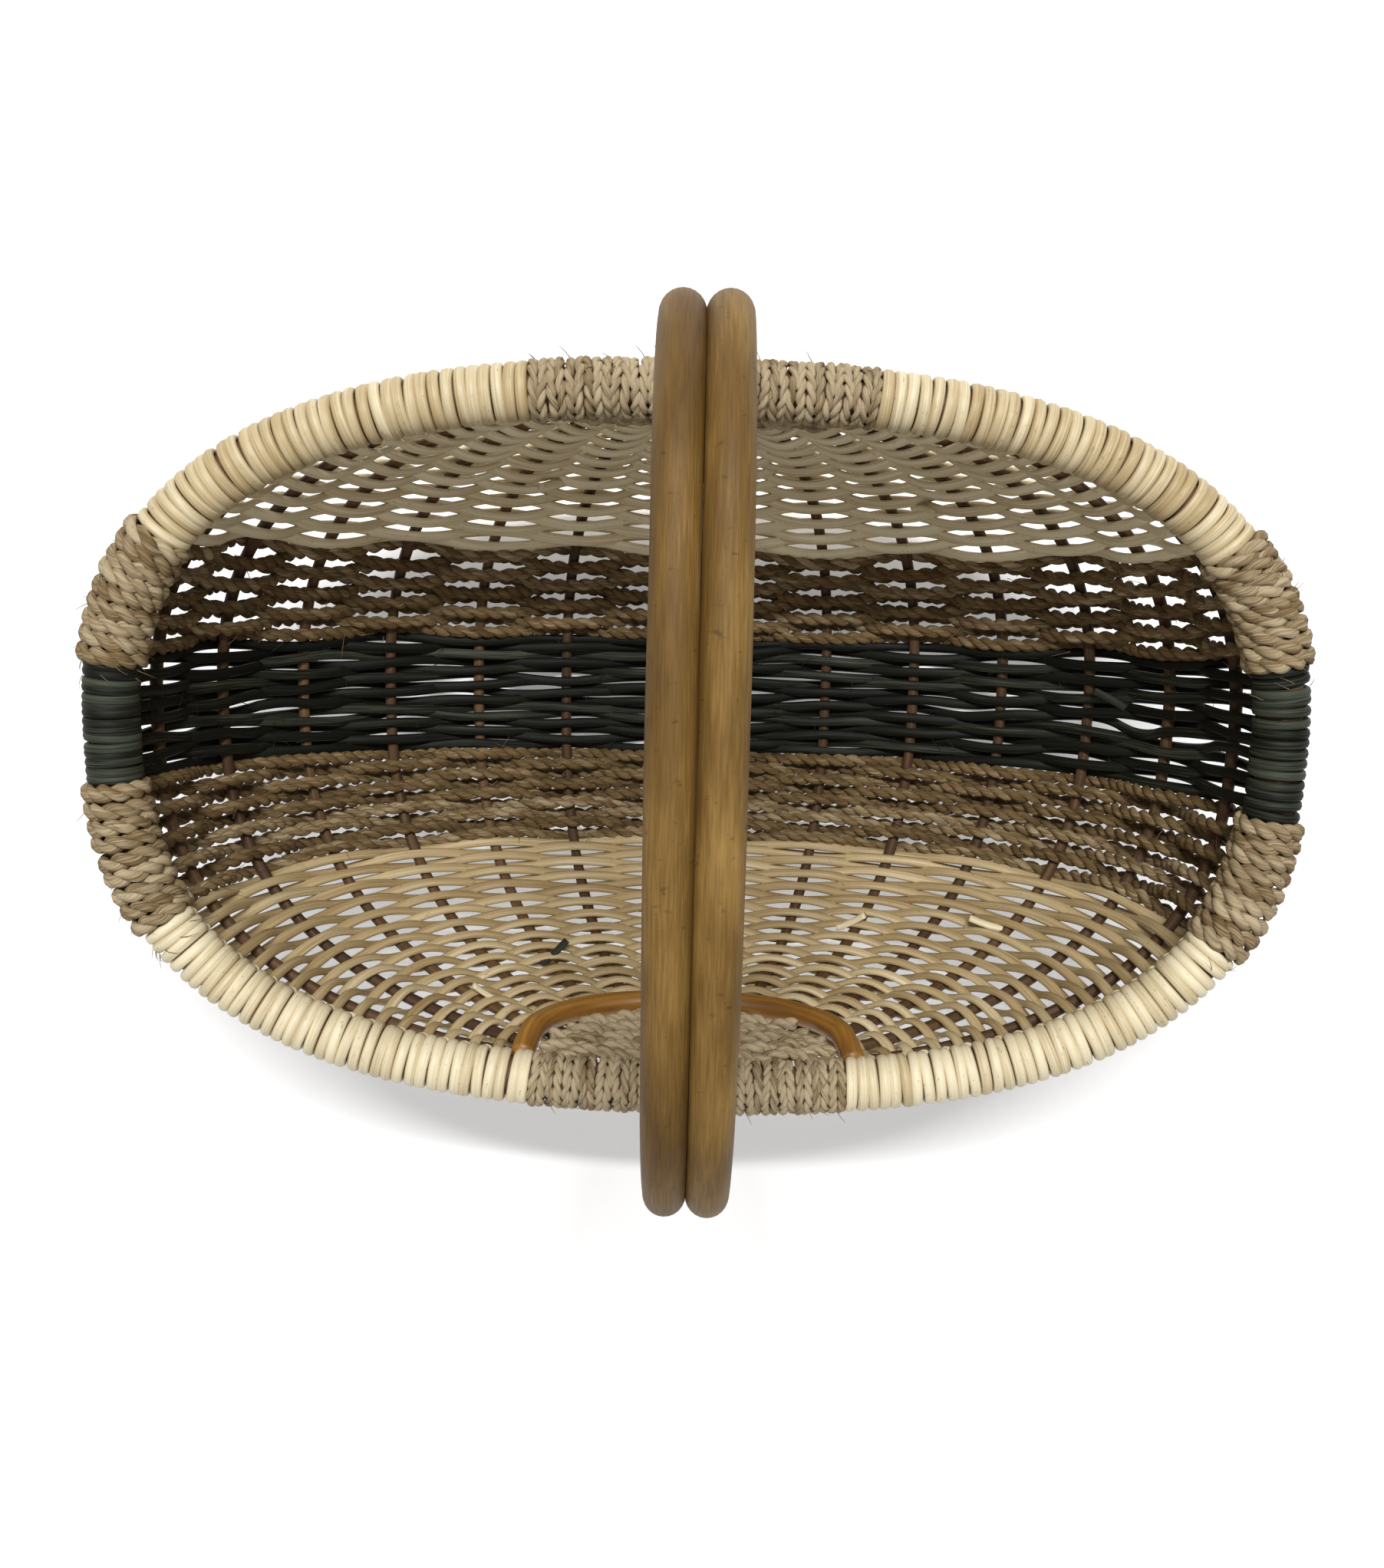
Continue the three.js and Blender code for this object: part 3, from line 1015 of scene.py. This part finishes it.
@dataclass
class LooseEnds:
    """Fine fibres that stand out of the weave and the rim, and cut ends that stick up inside.

    Args:
        name: the piece's name.
        seed: the seed of the places and shapes of its fibres.
    """

    name: str
    seed: int = 0

    def woven(self, low: float, high: float, count: int) -> Bundle:
        """Makes fibres that stand out of a band of the weave.

        Args:
            low: how far across the basket the band starts.
            high: how far across it stops.
            count: how many fibres there are.

        Returns:
            The fibres.
        """
        bundle = Bundle(self.name, 4)
        pick = Wander(self.seed).random.uniform
        t = np.linspace(0, 1, FIBRE_POINTS)[:, None]
        for _ in range(count):
            share, turn = pick(0.04, 0.96), SKIN.turn_at(pick(low, high))
            inward, sideways = SKIN.inward(share, turn), SKIN.sideways(share, turn)
            along = sideways * pick(-0.8, 0.8) + np.cross(inward, sideways) * pick(-1, 1)
            start = SKIN.point(share, turn) + inward * 3.5
            length = pick(5, 15)
            curl = unit(pick(-1, 1, 3))
            lean = inward * pick(0.1, 0.45) + along
            path = start + lean * length * t + curl * length * 0.3 * t**2
            bundle.add(fibre(path, unit(np.cross(inward, along))))
        return bundle

    def wrapped(self, low: float, high: float, count: int) -> Bundle:
        """Makes fibres that stand out of the wrapping of the rim.

        Args:
            low: how far round the rim they start.
            high: how far round they stop.
            count: how many fibres there are.

        Returns:
            The fibres.
        """
        bundle = Bundle(self.name, 4)
        pick = Wander(self.seed).random.uniform
        for _ in range(count):
            slot, angle = pick(low, high), pick(-0.4, 1.1) * np.pi
            t = np.linspace(0, 1, FIBRE_POINTS)
            lift = FORM.pole_radius + 2.5 + t * pick(1.5, 6.5)
            jitter = pick(-1, 1, FIBRE_POINTS) * 0.1
            path = [
                RIM.around(slot + j + k * 4.0, angle + k * 0.5, float(r))
                for j, k, r in zip(jitter, t, lift)
            ]
            bundle.add(fibre(np.stack(path), np.array([0.0, 0.0, 1.0])))
        return bundle

    def cut(self, places: list[tuple], lay: Lay, light: float) -> Bundle:
        """Makes the cut ends of strands.

        Args:
            places: the share of the section, the distance across and the heading of each.
            lay: the size of the strand.
            light: how much lighter it is than its finish.

        Returns:
            The cut ends.
        """
        bundle = Bundle(self.name)
        t = np.linspace(0, 1, 12)[:, None]
        for share, across, heading in places:
            turn = SKIN.turn_at(across)
            inward, sideways = SKIN.inward(share, turn), SKIN.sideways(share, turn)
            ahead = np.cos(heading) * np.cross(sideways, inward) + np.sin(heading) * sideways
            path = SKIN.point(share, turn) + ahead * (15 * t - 6) + inward * (2 + 8.0 * t**1.5)
            side = np.tile(np.cross(inward, ahead), (12, 1))
            bundle.add(Strand(path, side, lay.width * 0.8, lay.thickness, 0.6, light))
        return bundle


# Rods, ropes at the ears, handle


def rod(name: str, path: np.ndarray, radius: float, sides: int, tone: float, seed: int) -> Bundle:
    """Makes a round rod with the slight unevenness of cane.

    Args:
        name: the piece's name.
        path: its middle line.
        radius: its radius.
        sides: how many sides its section has.
        tone: the number its finish reads.
        seed: the seed of its unevenness.

    Returns:
        The rod as a bundle of one strand.
    """
    wander = Wander(seed)
    along = np.linspace(0, 1, len(path)) * 400
    swell = 2 * radius * (1 + wander.wave(along, *ROD_SWELL))
    tangent = unit(np.gradient(path, axis=0))
    start = np.array([1.0, 0, 0]) if abs(tangent[0, 0]) < 0.8 else np.array([0, 0, 1.0])
    side = np.tile(start, (len(path), 1))
    return Bundle(name, sides, [Strand(path, side, swell, swell * 0.985, tone)])


def rim_pole() -> Bundle:
    """Makes the rim pole, whose two ends meet inside the wrapping."""
    distance = np.linspace(0, RIM.length, 420)
    width = 2 * FORM.pole_radius
    pole = Strand(RIM.point(distance), RIM.outward(distance), width, width, 0.5)
    return Bundle("rim_pole", 14, [pole])


def ribs() -> list[Bundle]:
    """Makes the ribs.

    Returns:
        A bundle of one strand for each rib.
    """
    pieces = []
    turn = np.linspace(-1, 1, 120) * SKIN.ear_turn * 1.002
    first = FORM.first_rib_share
    for i in range(RIB_COUNT):
        row = first + i * (1 - 2 * first) / (RIB_COUNT - 1)
        share = SKIN.woven_share(row, turn)
        wander = Wander(SEED + 5 * i)
        width = 2 * FORM.rib_radius * (1 + wander.wave(turn * 150, *RIB_SWELL))
        path, side = SKIN.point(share, turn), SKIN.inward(share, turn)
        rib = Strand(path, side, width, width, wander.pick(0, 1))
        pieces.append(Bundle(f"rib_{i + 1:02d}", 10, [rib]))
    return pieces


class Ear:
    """The half-moon window at a foot of the handle: its loop, its rope and the wrapping above."""

    def __init__(self, side: Side) -> None:
        """Takes the sizes of one ear, which differ because the loops sit differently."""
        self.side = side
        self.at = side.name.lower()
        self.wander = Wander(SEED + 301 * (side.value + 2))
        near = side is Side.NEAR
        self.loop_across = FORM.near_loop_across if near else FORM.far_loop_across
        self.loop_inset = 0.0 if near else FORM.far_loop_inset
        self.rope_across = FORM.near_ear_rope_across if near else FORM.far_ear_rope_across

    def moon(self, inset: float) -> tuple[float, float]:
        """Returns the window's half length and its depth, inset."""
        width = FORM.rim_half_length * FORM.ear_scale - FORM.loop_side_inset - inset
        return width, FORM.hollow_depth * FORM.ear_scale - inset

    def loop(self) -> Bundle:
        """Makes the bent cane loop, whose ends on the near side tuck in under the wrapping.

        Returns:
            The loop.
        """
        count, top, power = 80, 7.0, 2 / FORM.section_exponent
        width, depth = self.moon(self.loop_inset)
        limit = (1 - (top / depth) ** FORM.section_exponent) ** 0.5
        angle = np.linspace(-1, 1, count) * np.arcsin(limit)
        x = np.sign(angle) * width * np.abs(np.sin(angle)) ** power
        z = -depth * np.cos(angle) ** power
        tuck = 9.0 * (1 + z / 24.0).clip(0) if self.side is Side.NEAR else np.zeros(count)
        y = self.side.value * (self.loop_across + tuck)
        path = np.stack([x, y, FORM.rim_height + z], axis=1)
        bundle = rod(f"ear_loop_{self.at}", evenly(path), FORM.loop_radius, 14, 0.5, SEED + 9)
        bundle.strands[0].side = np.tile([0, 1.0, 0], (count, 1))
        return bundle

    def lashing(self) -> Bundle:
        """Makes the rope that fills the window.

        Returns:
            The plies of its rows.
        """
        bundle = Bundle(f"ear_weave_{self.at}", 7)
        width, depth = self.moon(self.loop_inset + FORM.loop_radius + 1.0)
        exponent = FORM.section_exponent
        low = 4.0
        rows = int((depth - low) / EAR_ROPE.pitch)
        for i in range(rows):
            down = low + (i + 0.5) * (depth - low) / rows
            reach = width * (1 - (down / depth) ** exponent) ** (1 / exponent) - 1.0
            if reach < 12:
                continue
            x = np.linspace(-reach, reach, int(reach * 2 / ROPE_STEP))
            weave = 1.6 * (-1) ** i * np.cos(x / 15.0 * np.pi)
            bulge = self.wander.wave(x + 90, *EAR_ROPE_BULGE) + weave
            y = self.side.value * (self.rope_across + bulge)
            sag = self.wander.wave(x + 90, *EAR_ROPE_SAG) + 0.04 * np.abs(x) ** 1.05
            path = np.stack([x, y, FORM.rim_height - down + sag], axis=1)
            side = np.tile([0, 0, 1.0], (len(x), 1))
            tone = self.wander.pick(0.2, 1)
            rope = Strand(path, side, EAR_ROPE.width, EAR_ROPE.thickness, tone, EAR_ROPE_PAINTED_LIGHT)
            bundle.add(*rope.twisted(EAR_ROPE_TWIST, self.wander))
        return bundle

    def wrap(self) -> Bundle:
        """Makes the rope wrapped round the rim between the two ends of the loop.

        Returns:
            The plies of its turns.
        """
        bundle = Bundle(f"rim_wrap_ear_{self.at}", 8)
        middle = RIM.length / 4 if self.side is Side.FAR else 3 * RIM.length / 4
        reach = RIM.quarter.length - RIM.quarter.at_width(FORM.ear_wrap_half_length)
        count = round(2 * reach / EAR_WRAP.pitch)
        radius = FORM.pole_radius + EAR_WRAP.thickness / 2 - EAR_WRAP_PRESS
        angle = np.linspace(*EAR_TURN, EAR_WRAP_POINTS)
        for i in range(count):
            slot = middle - reach + (i + 0.5) * 2 * reach / count
            lean = self.wander.near(1.8, 0.6) * (-1) ** (i // 2)
            slant = np.linspace(-0.5, 0.5, EAR_WRAP_POINTS) * lean
            slant = slant + self.wander.wave(angle * 10, *EAR_WRAP_SLANT)
            path = RIM.around(slot + slant, angle, radius)
            side = np.tile(RIM.tangent(slot), (len(path), 1))
            tone = self.wander.pick(0.2, 1)
            plump = self.wander.near(EAR_WRAP.thickness, 0.12)
            rope = Strand(path, side, EAR_WRAP.width, plump, tone, EAR_WRAP_PAINTED_LIGHT)
            twist = self.wander.near(EAR_WRAP_TWIST, 0.12) * (-1) ** i
            bundle.add(*rope.twisted(twist, self.wander))
        return bundle


class Handle:
    """The two rods of the arch."""

    def path(self, end: End) -> np.ndarray:
        """Draws one rod's middle line.

        Args:
            end: which of the two rods.

        Returns:
            Points from the near foot to the far foot.
        """
        leg, swell, height = FORM.leg_across, FORM.handle_swell, FORM.handle_height
        x = end.value * FORM.handle_radius * 0.985
        # Points up one side of the arch: how far across, and how high above the rim.
        flank = [
            (leg - FORM.foot_tuck, -FORM.leg_foot),
            (leg, 0.0),
            (leg + swell * 0.62, height * 0.35),
            (leg + swell, height * 0.66),
            (leg - 16, height * 0.91),
            (leg * 0.45, height * 0.99),
        ]
        near = [(-y, z) for y, z in flank]
        return through([self.place(x, y, z) for y, z in (*near, (0, height), *reversed(flank))], 16)

    def place(self, x: float, y: float, height: float) -> list[float]:
        """Leans a point of the arch over."""
        t = min(1.0, max(0.0, height / FORM.handle_height))
        return [x, y + FORM.handle_lean * t * t * (3 - 2 * t), FORM.rim_height + height]

    def rods(self) -> list[Bundle]:
        """Makes the two rods.

        Returns:
            A bundle of one strand for each.
        """
        pieces = []
        for end in End:
            tone, seed = 0.5 + 0.25 * end.value, SEED + 71 * (end.value + 2)
            name = f"handle_rod_{end.name.lower()}"
            pieces.append(rod(name, self.path(end), FORM.handle_radius, 24, tone, seed))
        return pieces


# Finishes


@dataclass(frozen=True)
class Finish:
    """The look of one material.

    Args:
        dark: the colour in its dark streaks.
        middle: its colour.
        light: the colour in its light streaks.
        grain_along: how far a streak runs, in millimetres.
        grain_round: how many streaks there are round a strand, about.
        roughness: how matt it is.
        bump: the depth of its grain, in millimetres.
        variety: how much one strand differs from the next.
        speck: how strong its dark specks are.
        twist: how far the grain slants round the strand, in turns for each millimetre.
        coat: how strong its varnish is.
        shine: how strongly its surface shines, where 0.5 is usual.
        patch_along: how far a patch of one shade runs, in millimetres.
        patchy: how much one patch differs from the next.
        streaky: how much one streak differs from the next.
    """

    dark: tuple
    middle: tuple
    light: tuple
    grain_along: float
    grain_round: float
    roughness: float
    bump: float
    variety: float = 0.35
    speck: float = 0.3
    twist: float = 0.0
    coat: float = 0.0
    shine: float = 0.5
    patch_along: float = 160.0
    patchy: float = 0.9
    streaky: float = 1.1


class Finishes(Enum):
    """The basket's materials, by the name of their slot."""

    HANDLE_CANE = Finish(
        (0.066, 0.031, 0.005), (0.160, 0.086, 0.017), (0.33, 0.198, 0.054), 13, 9.0, 0.6, 0.18,
        variety=0.2, speck=0.45, shine=0.3, patch_along=50, patchy=1.0, streaky=0.6,
    )
    POLE_CANE = Finish(
        (0.06, 0.022, 0.008), (0.14, 0.062, 0.025), (0.22, 0.11, 0.045), 30, 2, 0.6, 0.1
    )
    RIB_CANE = Finish(
        (0.030, 0.014, 0.006), (0.082, 0.041, 0.016), (0.16, 0.085, 0.035), 25, 2, 0.6, 0.1,
        shine=0.3,
    )
    LOOP_CANE = Finish(
        (0.120, 0.045, 0.006), (0.27, 0.118, 0.016), (0.42, 0.215, 0.04), 35, 2.4, 0.42, 0.12,
        variety=0.2, speck=0.3, coat=0.15, streaky=1.3,
    )
    PALE_CANE = Finish(
        (0.26, 0.162, 0.060), (0.51, 0.388, 0.203), (0.84, 0.74, 0.51), 34, 3.2, 0.50, 0.12,
        variety=0.36, speck=0.45, patchy=0.7, streaky=0.8,
    )
    SEAGRASS = Finish(
        (0.050, 0.028, 0.008), (0.185, 0.118, 0.047), (0.52, 0.415, 0.26), 9, 3.5, 0.75, 0.35,
        variety=0.45, speck=0.3, twist=0.03, shine=0.3, patch_along=54,
    )
    DYED_REED = Finish(
        (0.0022, 0.0026, 0.0014), (0.007, 0.0078, 0.0045), (0.060, 0.068, 0.046), 26, 3.0, 0.6,
        0.14, variety=0.5, speck=0.2, shine=0.22, patch_along=110, streaky=1.3,
    )


class Shader:
    """Builds one finish as a material.

    Args:
        slot: the finish to build.
    """

    def __init__(self, slot: Finishes) -> None:
        """Starts the material."""
        self.finish = slot.value
        self.material = bpy.data.materials.new(slot.name.lower())
        self.material.use_nodes = True
        self.tree = self.material.node_tree
        self.surface = self.tree.nodes["Principled BSDF"]

    def node(self, kind: str, **values: object) -> bpy.types.Node:
        """Adds a node.

        Args:
            kind: its type.
            values: its properties.

        Returns:
            The node.
        """
        made = self.tree.nodes.new(kind)
        for key, value in values.items():
            setattr(made, key, value)
        return made

    def math(self, operation: str, first: object, second: object = 0.0) -> bpy.types.NodeSocket:
        """Adds a sum.

        Args:
            operation: what to do with the two.
            first: a number or a socket.
            second: another.

        Returns:
            The socket that gives the result.
        """
        made = self.node("ShaderNodeMath", operation=operation)
        for socket, value in zip(made.inputs, (first, second)):
            self.feed(socket, value)
        return made.outputs[0]

    def feed(self, socket: bpy.types.NodeSocket, value: object) -> None:
        """Links an input to a socket, or sets it to a value.

        Args:
            socket: the input.
            value: the socket or the value.
        """
        if isinstance(value, bpy.types.NodeSocket):
            self.tree.links.new(value, socket)
        else:
            socket.default_value = value

    def read(self, name: str) -> bpy.types.NodeSocket:
        """Reads a number that the strand carries."""
        return self.node("ShaderNodeAttribute", attribute_name=name).outputs["Fac"]

    def noise(
        self, along: float, around: float, shift: float, detail: float
    ) -> bpy.types.NodeSocket:
        """Adds a noise that has no seam round the strand and differs from strand to strand.

        Args:
            along: how many of its swings there are in a metre of strand.
            around: how many there are round the strand.
            shift: what sets it apart from the finish's other noises.
            detail: its level of detail.

        Returns:
            The noise, from 0 to 1.
        """
        uv = self.node("ShaderNodeUVMap", uv_map="strand")
        split = self.node("ShaderNodeSeparateXYZ")
        self.feed(split.inputs[0], uv.outputs[0])
        apart = self.math("MULTIPLY", self.read("tone"), 173.0 + shift)
        twist = self.math("MULTIPLY", split.outputs[0], self.finish.twist * 1000)
        angle = self.math("MULTIPLY", self.math("ADD", split.outputs[1], twist), 2 * np.pi)
        join = self.node("ShaderNodeCombineXYZ")
        ahead = self.math("MULTIPLY", split.outputs[0], along)
        self.feed(join.inputs[0], self.math("ADD", ahead, apart))
        self.feed(join.inputs[1], self.math("MULTIPLY", self.math("COSINE", angle), around))
        self.feed(join.inputs[2], self.math("MULTIPLY", self.math("SINE", angle), around))
        made = self.node("ShaderNodeTexNoise")
        self.feed(made.inputs["Vector"], join.outputs[0])
        self.feed(made.inputs["Scale"], 1.0)
        self.feed(made.inputs["Detail"], detail)
        return made.outputs[0]

    def ramp(self, factor: bpy.types.NodeSocket, stops: list[tuple]) -> bpy.types.NodeSocket:
        """Maps a number to a colour.

        Args:
            factor: the number.
            stops: the place and the colour of each step.

        Returns:
            The socket that gives the colour.
        """
        made = self.node("ShaderNodeValToRGB")
        points = made.color_ramp.elements
        while len(points) < len(stops):
            points.new(0.5)
        for point, (position, color) in zip(points, stops):
            point.position = position
            point.color = (*color, 1.0)
        self.feed(made.inputs[0], factor)
        return made.outputs[0]

    def build(self) -> bpy.types.Material:
        """Wires the finish up.

        Returns:
            The material.
        """
        f = self.finish
        streaks = self.noise(1000 / f.grain_along, f.grain_round, 0, 3.0)
        patches = self.noise(1000 / f.patch_along, 0.4, 40, 2.0)
        # The "light" attribute is painted light and shade, added to the level that picks the
        # colour.
        level = self.math("ADD", self.read("light"), 0.5)
        tone = self.read("tone")
        for source, weight in ((tone, f.variety), (patches, f.patchy), (streaks, f.streaky)):
            part = self.math("MULTIPLY", self.math("SUBTRACT", source, 0.5), weight)
            level = self.math("ADD", level, part)
        color = self.ramp(level, [(0.05, f.dark), (0.5, f.middle), (0.95, f.light)])

        specks = self.noise(420.0, 1.6, 80, 2.0)
        cover = self.ramp(specks, [(0.66, (0, 0, 0)), (0.75, (f.speck, f.speck, f.speck))])
        mix = self.node("ShaderNodeMix", data_type="RGBA")
        self.feed(mix.inputs["Factor"], cover)
        self.feed(mix.inputs[6], color)
        mix.inputs[7].default_value = (*[c * 0.45 for c in f.dark], 1.0)

        fine = self.noise(2000 / f.grain_along, f.grain_round * 2.2, 20, 3.0)
        bump = self.node("ShaderNodeBump")
        self.feed(bump.inputs["Strength"], 1.0)
        self.feed(bump.inputs["Distance"], f.bump * MM)
        self.feed(bump.inputs["Height"], fine)
        for socket, value in (
            ("Base Color", mix.outputs[2]),
            ("Normal", bump.outputs[0]),
            ("Roughness", f.roughness),
            ("Specular IOR Level", f.shine),
            ("Coat Weight", f.coat),
            ("Coat Roughness", 0.25),
        ):
            self.feed(self.surface.inputs[socket], value)
        return self.material


# The basket and its setting


class Basket:
    """The whole basket: builds each bundle, gives it its finish and rides it on the frame."""

    def __init__(self) -> None:
        """Builds the materials."""
        self.materials = {slot: Shader(slot).build() for slot in Finishes}

    def place(self, bundle: Bundle, slot: Finishes, *nodes: str) -> None:
        """Builds a bundle and puts it in the place of CAD pieces.

        Args:
            bundle: the strands.
            slot: their finish.
            nodes: the CAD pieces that they stand for.
        """
        piece = bundle.build()
        piece.data.materials.append(self.materials[slot])
        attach(piece, "root")
        if nodes:
            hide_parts(*nodes)

    def restyle(self, bundle: Bundle, slot: Finishes, ending: str) -> None:
        """Puts a bundle in the place of the one CAD piece that it is named after.

        Args:
            bundle: the strands, with the CAD piece's name.
            slot: their finish.
            ending: what the visible piece's name has after the CAD piece's.
        """
        node = bundle.name
        bundle.name = node + ending
        self.place(bundle, slot, node)

    def build(self) -> None:
        """Builds every piece."""
        weave = Weave()
        self.place(rim_pole(), Finishes.POLE_CANE, "rim_pole")
        for rib in ribs():
            self.restyle(rib, Finishes.RIB_CANE, "_cane")
        nodes = ["weave_reed", "rim_wrap_reed_left", "rim_wrap_reed_right"]
        self.place(weave.single(weave.reed, "reed_strands"), Finishes.DYED_REED, *nodes)
        self.loose_ends()
        for side in Side:
            at = side.name.lower()
            nodes = [f"weave_rope_{at}", f"rim_wrap_rope_{at}_left", f"rim_wrap_rope_{at}_right"]
            ropes = weave.ropes(weave.rope[side], f"rope_strands_{at}")
            self.place(ropes, Finishes.SEAGRASS, *nodes)
            cane = weave.cane[side]
            strands = weave.single(cane, f"cane_strands_{at}")
            self.place(strands, Finishes.PALE_CANE, f"weave_cane_{at}")
            for end in End:
                corner = f"{at}_{end.name.lower()}"
                turns = weave.spare(cane, end, f"cane_turns_{corner}")
                self.place(turns, Finishes.PALE_CANE, f"rim_wrap_cane_{corner}")
            ear = Ear(side)
            self.restyle(ear.loop(), Finishes.LOOP_CANE, "_look")
            self.restyle(ear.lashing(), Finishes.SEAGRASS, "_look")
            self.restyle(ear.wrap(), Finishes.SEAGRASS, "_look")
        for bundle in Handle().rods():
            self.restyle(bundle, Finishes.HANDLE_CANE, "_cane")

    def loose_ends(self) -> None:
        """Builds the fibres and the cut ends."""
        half, rope = FORM.reed_half_width, FORM.rope_edge
        for side in Side:
            at, sign = side.name.lower(), side.value
            low, high = sorted((sign * half, sign * rope))
            ends = LooseEnds(f"rope_fibres_{at}", SEED + 5 * sign + 60)
            self.place(ends.woven(low, high, 110), Finishes.SEAGRASS)
            middle = (1 if side is Side.FAR else 3) * RIM.quarter.length
            ends = LooseEnds(f"ear_fibres_{at}", SEED + 5 * sign + 90)
            self.place(ends.wrapped(middle - 66, middle + 66, 26), Finishes.SEAGRASS)
            for end in End:
                start, stop = sorted((RIM.meets(sign * 25.0, end), RIM.meets(sign * 84.0, end)))
                seed = SEED + 7 * sign + 3 * end.value + 120
                ends = LooseEnds(f"corner_fibres_{at}_{end.name.lower()}", seed)
                self.place(ends.wrapped(start, stop, 34), Finishes.SEAGRASS)
        reed = LooseEnds("reed_fibres", SEED + 200)
        self.place(reed.woven(-half, half, 60), Finishes.DYED_REED)
        pale = LooseEnds("cane_cut_ends").cut(PALE_CUT_ENDS, NEAR_CANE, 0.3)
        self.place(pale, Finishes.PALE_CANE)
        dark = LooseEnds("reed_cut_ends").cut(DARK_CUT_ENDS, REED, 0.1)
        self.place(dark, Finishes.DYED_REED)


@dataclass(frozen=True)
class Lamp:
    """A soft oblong light that points at the basket.

    Args:
        name: its name.
        place: where it is, in metres.
        size: its two sides, in metres, the level one first.
        power: its power, in watts.
    """

    name: str
    place: tuple[float, float, float]
    size: tuple[float, float]
    power: float

    def hang(self, target: tuple[float, float, float]) -> None:
        """Hangs the light.

        Args:
            target: what it points at, in metres.
        """
        data = bpy.data.lights.new(self.name, "AREA")
        data.shape = "RECTANGLE"
        data.size, data.size_y = self.size
        data.energy = self.power
        lamp = bpy.data.objects.new(self.name, data)
        lamp.location = self.place
        way = Vector(target) - Vector(self.place)
        lamp.rotation_euler = way.to_track_quat("-Z", "Y").to_euler()
        bpy.context.scene.collection.objects.link(lamp)


@dataclass(frozen=True)
class Studio:
    """The floor, the lights and the camera.

    Args:
        floor_size: half the floor's side, in metres.
        floor_shade: how pale the floor is.
        floor_glow: how strongly it glows, which keeps its shadows soft.
        surroundings: the strength of the even white light all round.
        target: what the lights point at, in metres.
        lamps: the lights.
        eye: where the camera is, in millimetres.
        ahead: the way it looks.
        upright: the way that is up in its picture.
        lens: its focal length, in millimetres.
    """

    floor_size: float = 6.0
    floor_shade: float = 0.9
    floor_glow: float = 0.24
    surroundings: float = 0.25
    target: tuple[float, float, float] = (0.0, 0.0, 0.1)
    lamps: tuple[Lamp, ...] = (
        Lamp("key", (0.05, 1.26, 2.40), (1.1, 0.08), 64.0),
        Lamp("fill", (-0.3, -1.1, 1.6), (1.4, 1.4), 6.0),
    )
    eye: tuple[float, float, float] = (-1.47, 101.44, 733.73)
    ahead: tuple[float, float, float] = (0.000857, -0.20167, -0.97945)
    upright: tuple[float, float, float] = (-0.02391, 0.97917, -0.20163)
    lens: float = 31.48

    def floor(self) -> None:
        """Lays a plain pale floor."""
        bm = bmesh.new()
        bmesh.ops.create_grid(bm, x_segments=1, y_segments=1, size=self.floor_size)
        mesh = bpy.data.meshes.new("floor")
        bm.to_mesh(mesh)
        bm.free()
        material = bpy.data.materials.new("floor_white")
        material.use_nodes = True
        surface = material.node_tree.nodes["Principled BSDF"]
        shade = self.floor_shade
        surface.inputs["Base Color"].default_value = (shade, shade, shade, 1.0)
        surface.inputs["Roughness"].default_value = 0.9
        surface.inputs["Emission Color"].default_value = (1.0, 1.0, 1.0, 1.0)
        surface.inputs["Emission Strength"].default_value = self.floor_glow
        mesh.materials.append(material)
        piece = bpy.data.objects.new("floor", mesh)
        bpy.context.scene.collection.objects.link(piece)

    def world(self) -> None:
        """Surrounds the scene with even white light."""
        world = bpy.data.worlds.new("studio")
        world.use_nodes = True
        shade = world.node_tree.nodes["Background"]
        shade.inputs["Color"].default_value = (1.0, 1.0, 1.0, 1.0)
        shade.inputs["Strength"].default_value = self.surroundings
        bpy.context.scene.world = world

    def camera(self) -> None:
        """Sets the camera above the basket, a little towards the far side, looking down into it."""
        forward = Vector(self.ahead).normalized()
        right = forward.cross(Vector(self.upright)).normalized()
        up = right.cross(forward)
        data = bpy.data.cameras.new("camera")
        data.sensor_width = 36.0
        data.lens = self.lens
        data.clip_start = 0.01
        view = bpy.data.objects.new("camera", data)
        axes = Matrix((right, up, -forward)).transposed().to_4x4()
        view.matrix_world = Matrix.Translation(Vector(self.eye) * MM) @ axes
        bpy.context.scene.collection.objects.link(view)
        bpy.context.scene.camera = view

    def build(self) -> None:
        """Sets everything round the basket."""
        self.floor()
        self.world()
        for lamp in self.lamps:
            lamp.hang(self.target)
        bpy.context.scene.view_settings.view_transform = "Standard"
        self.camera()


def main() -> None:
    """Builds the basket in its studio."""
    logging.basicConfig(level=logging.INFO, format="%(message)s")
    Basket().build()
    Studio().build()


if __name__ == "__main__":
    main()
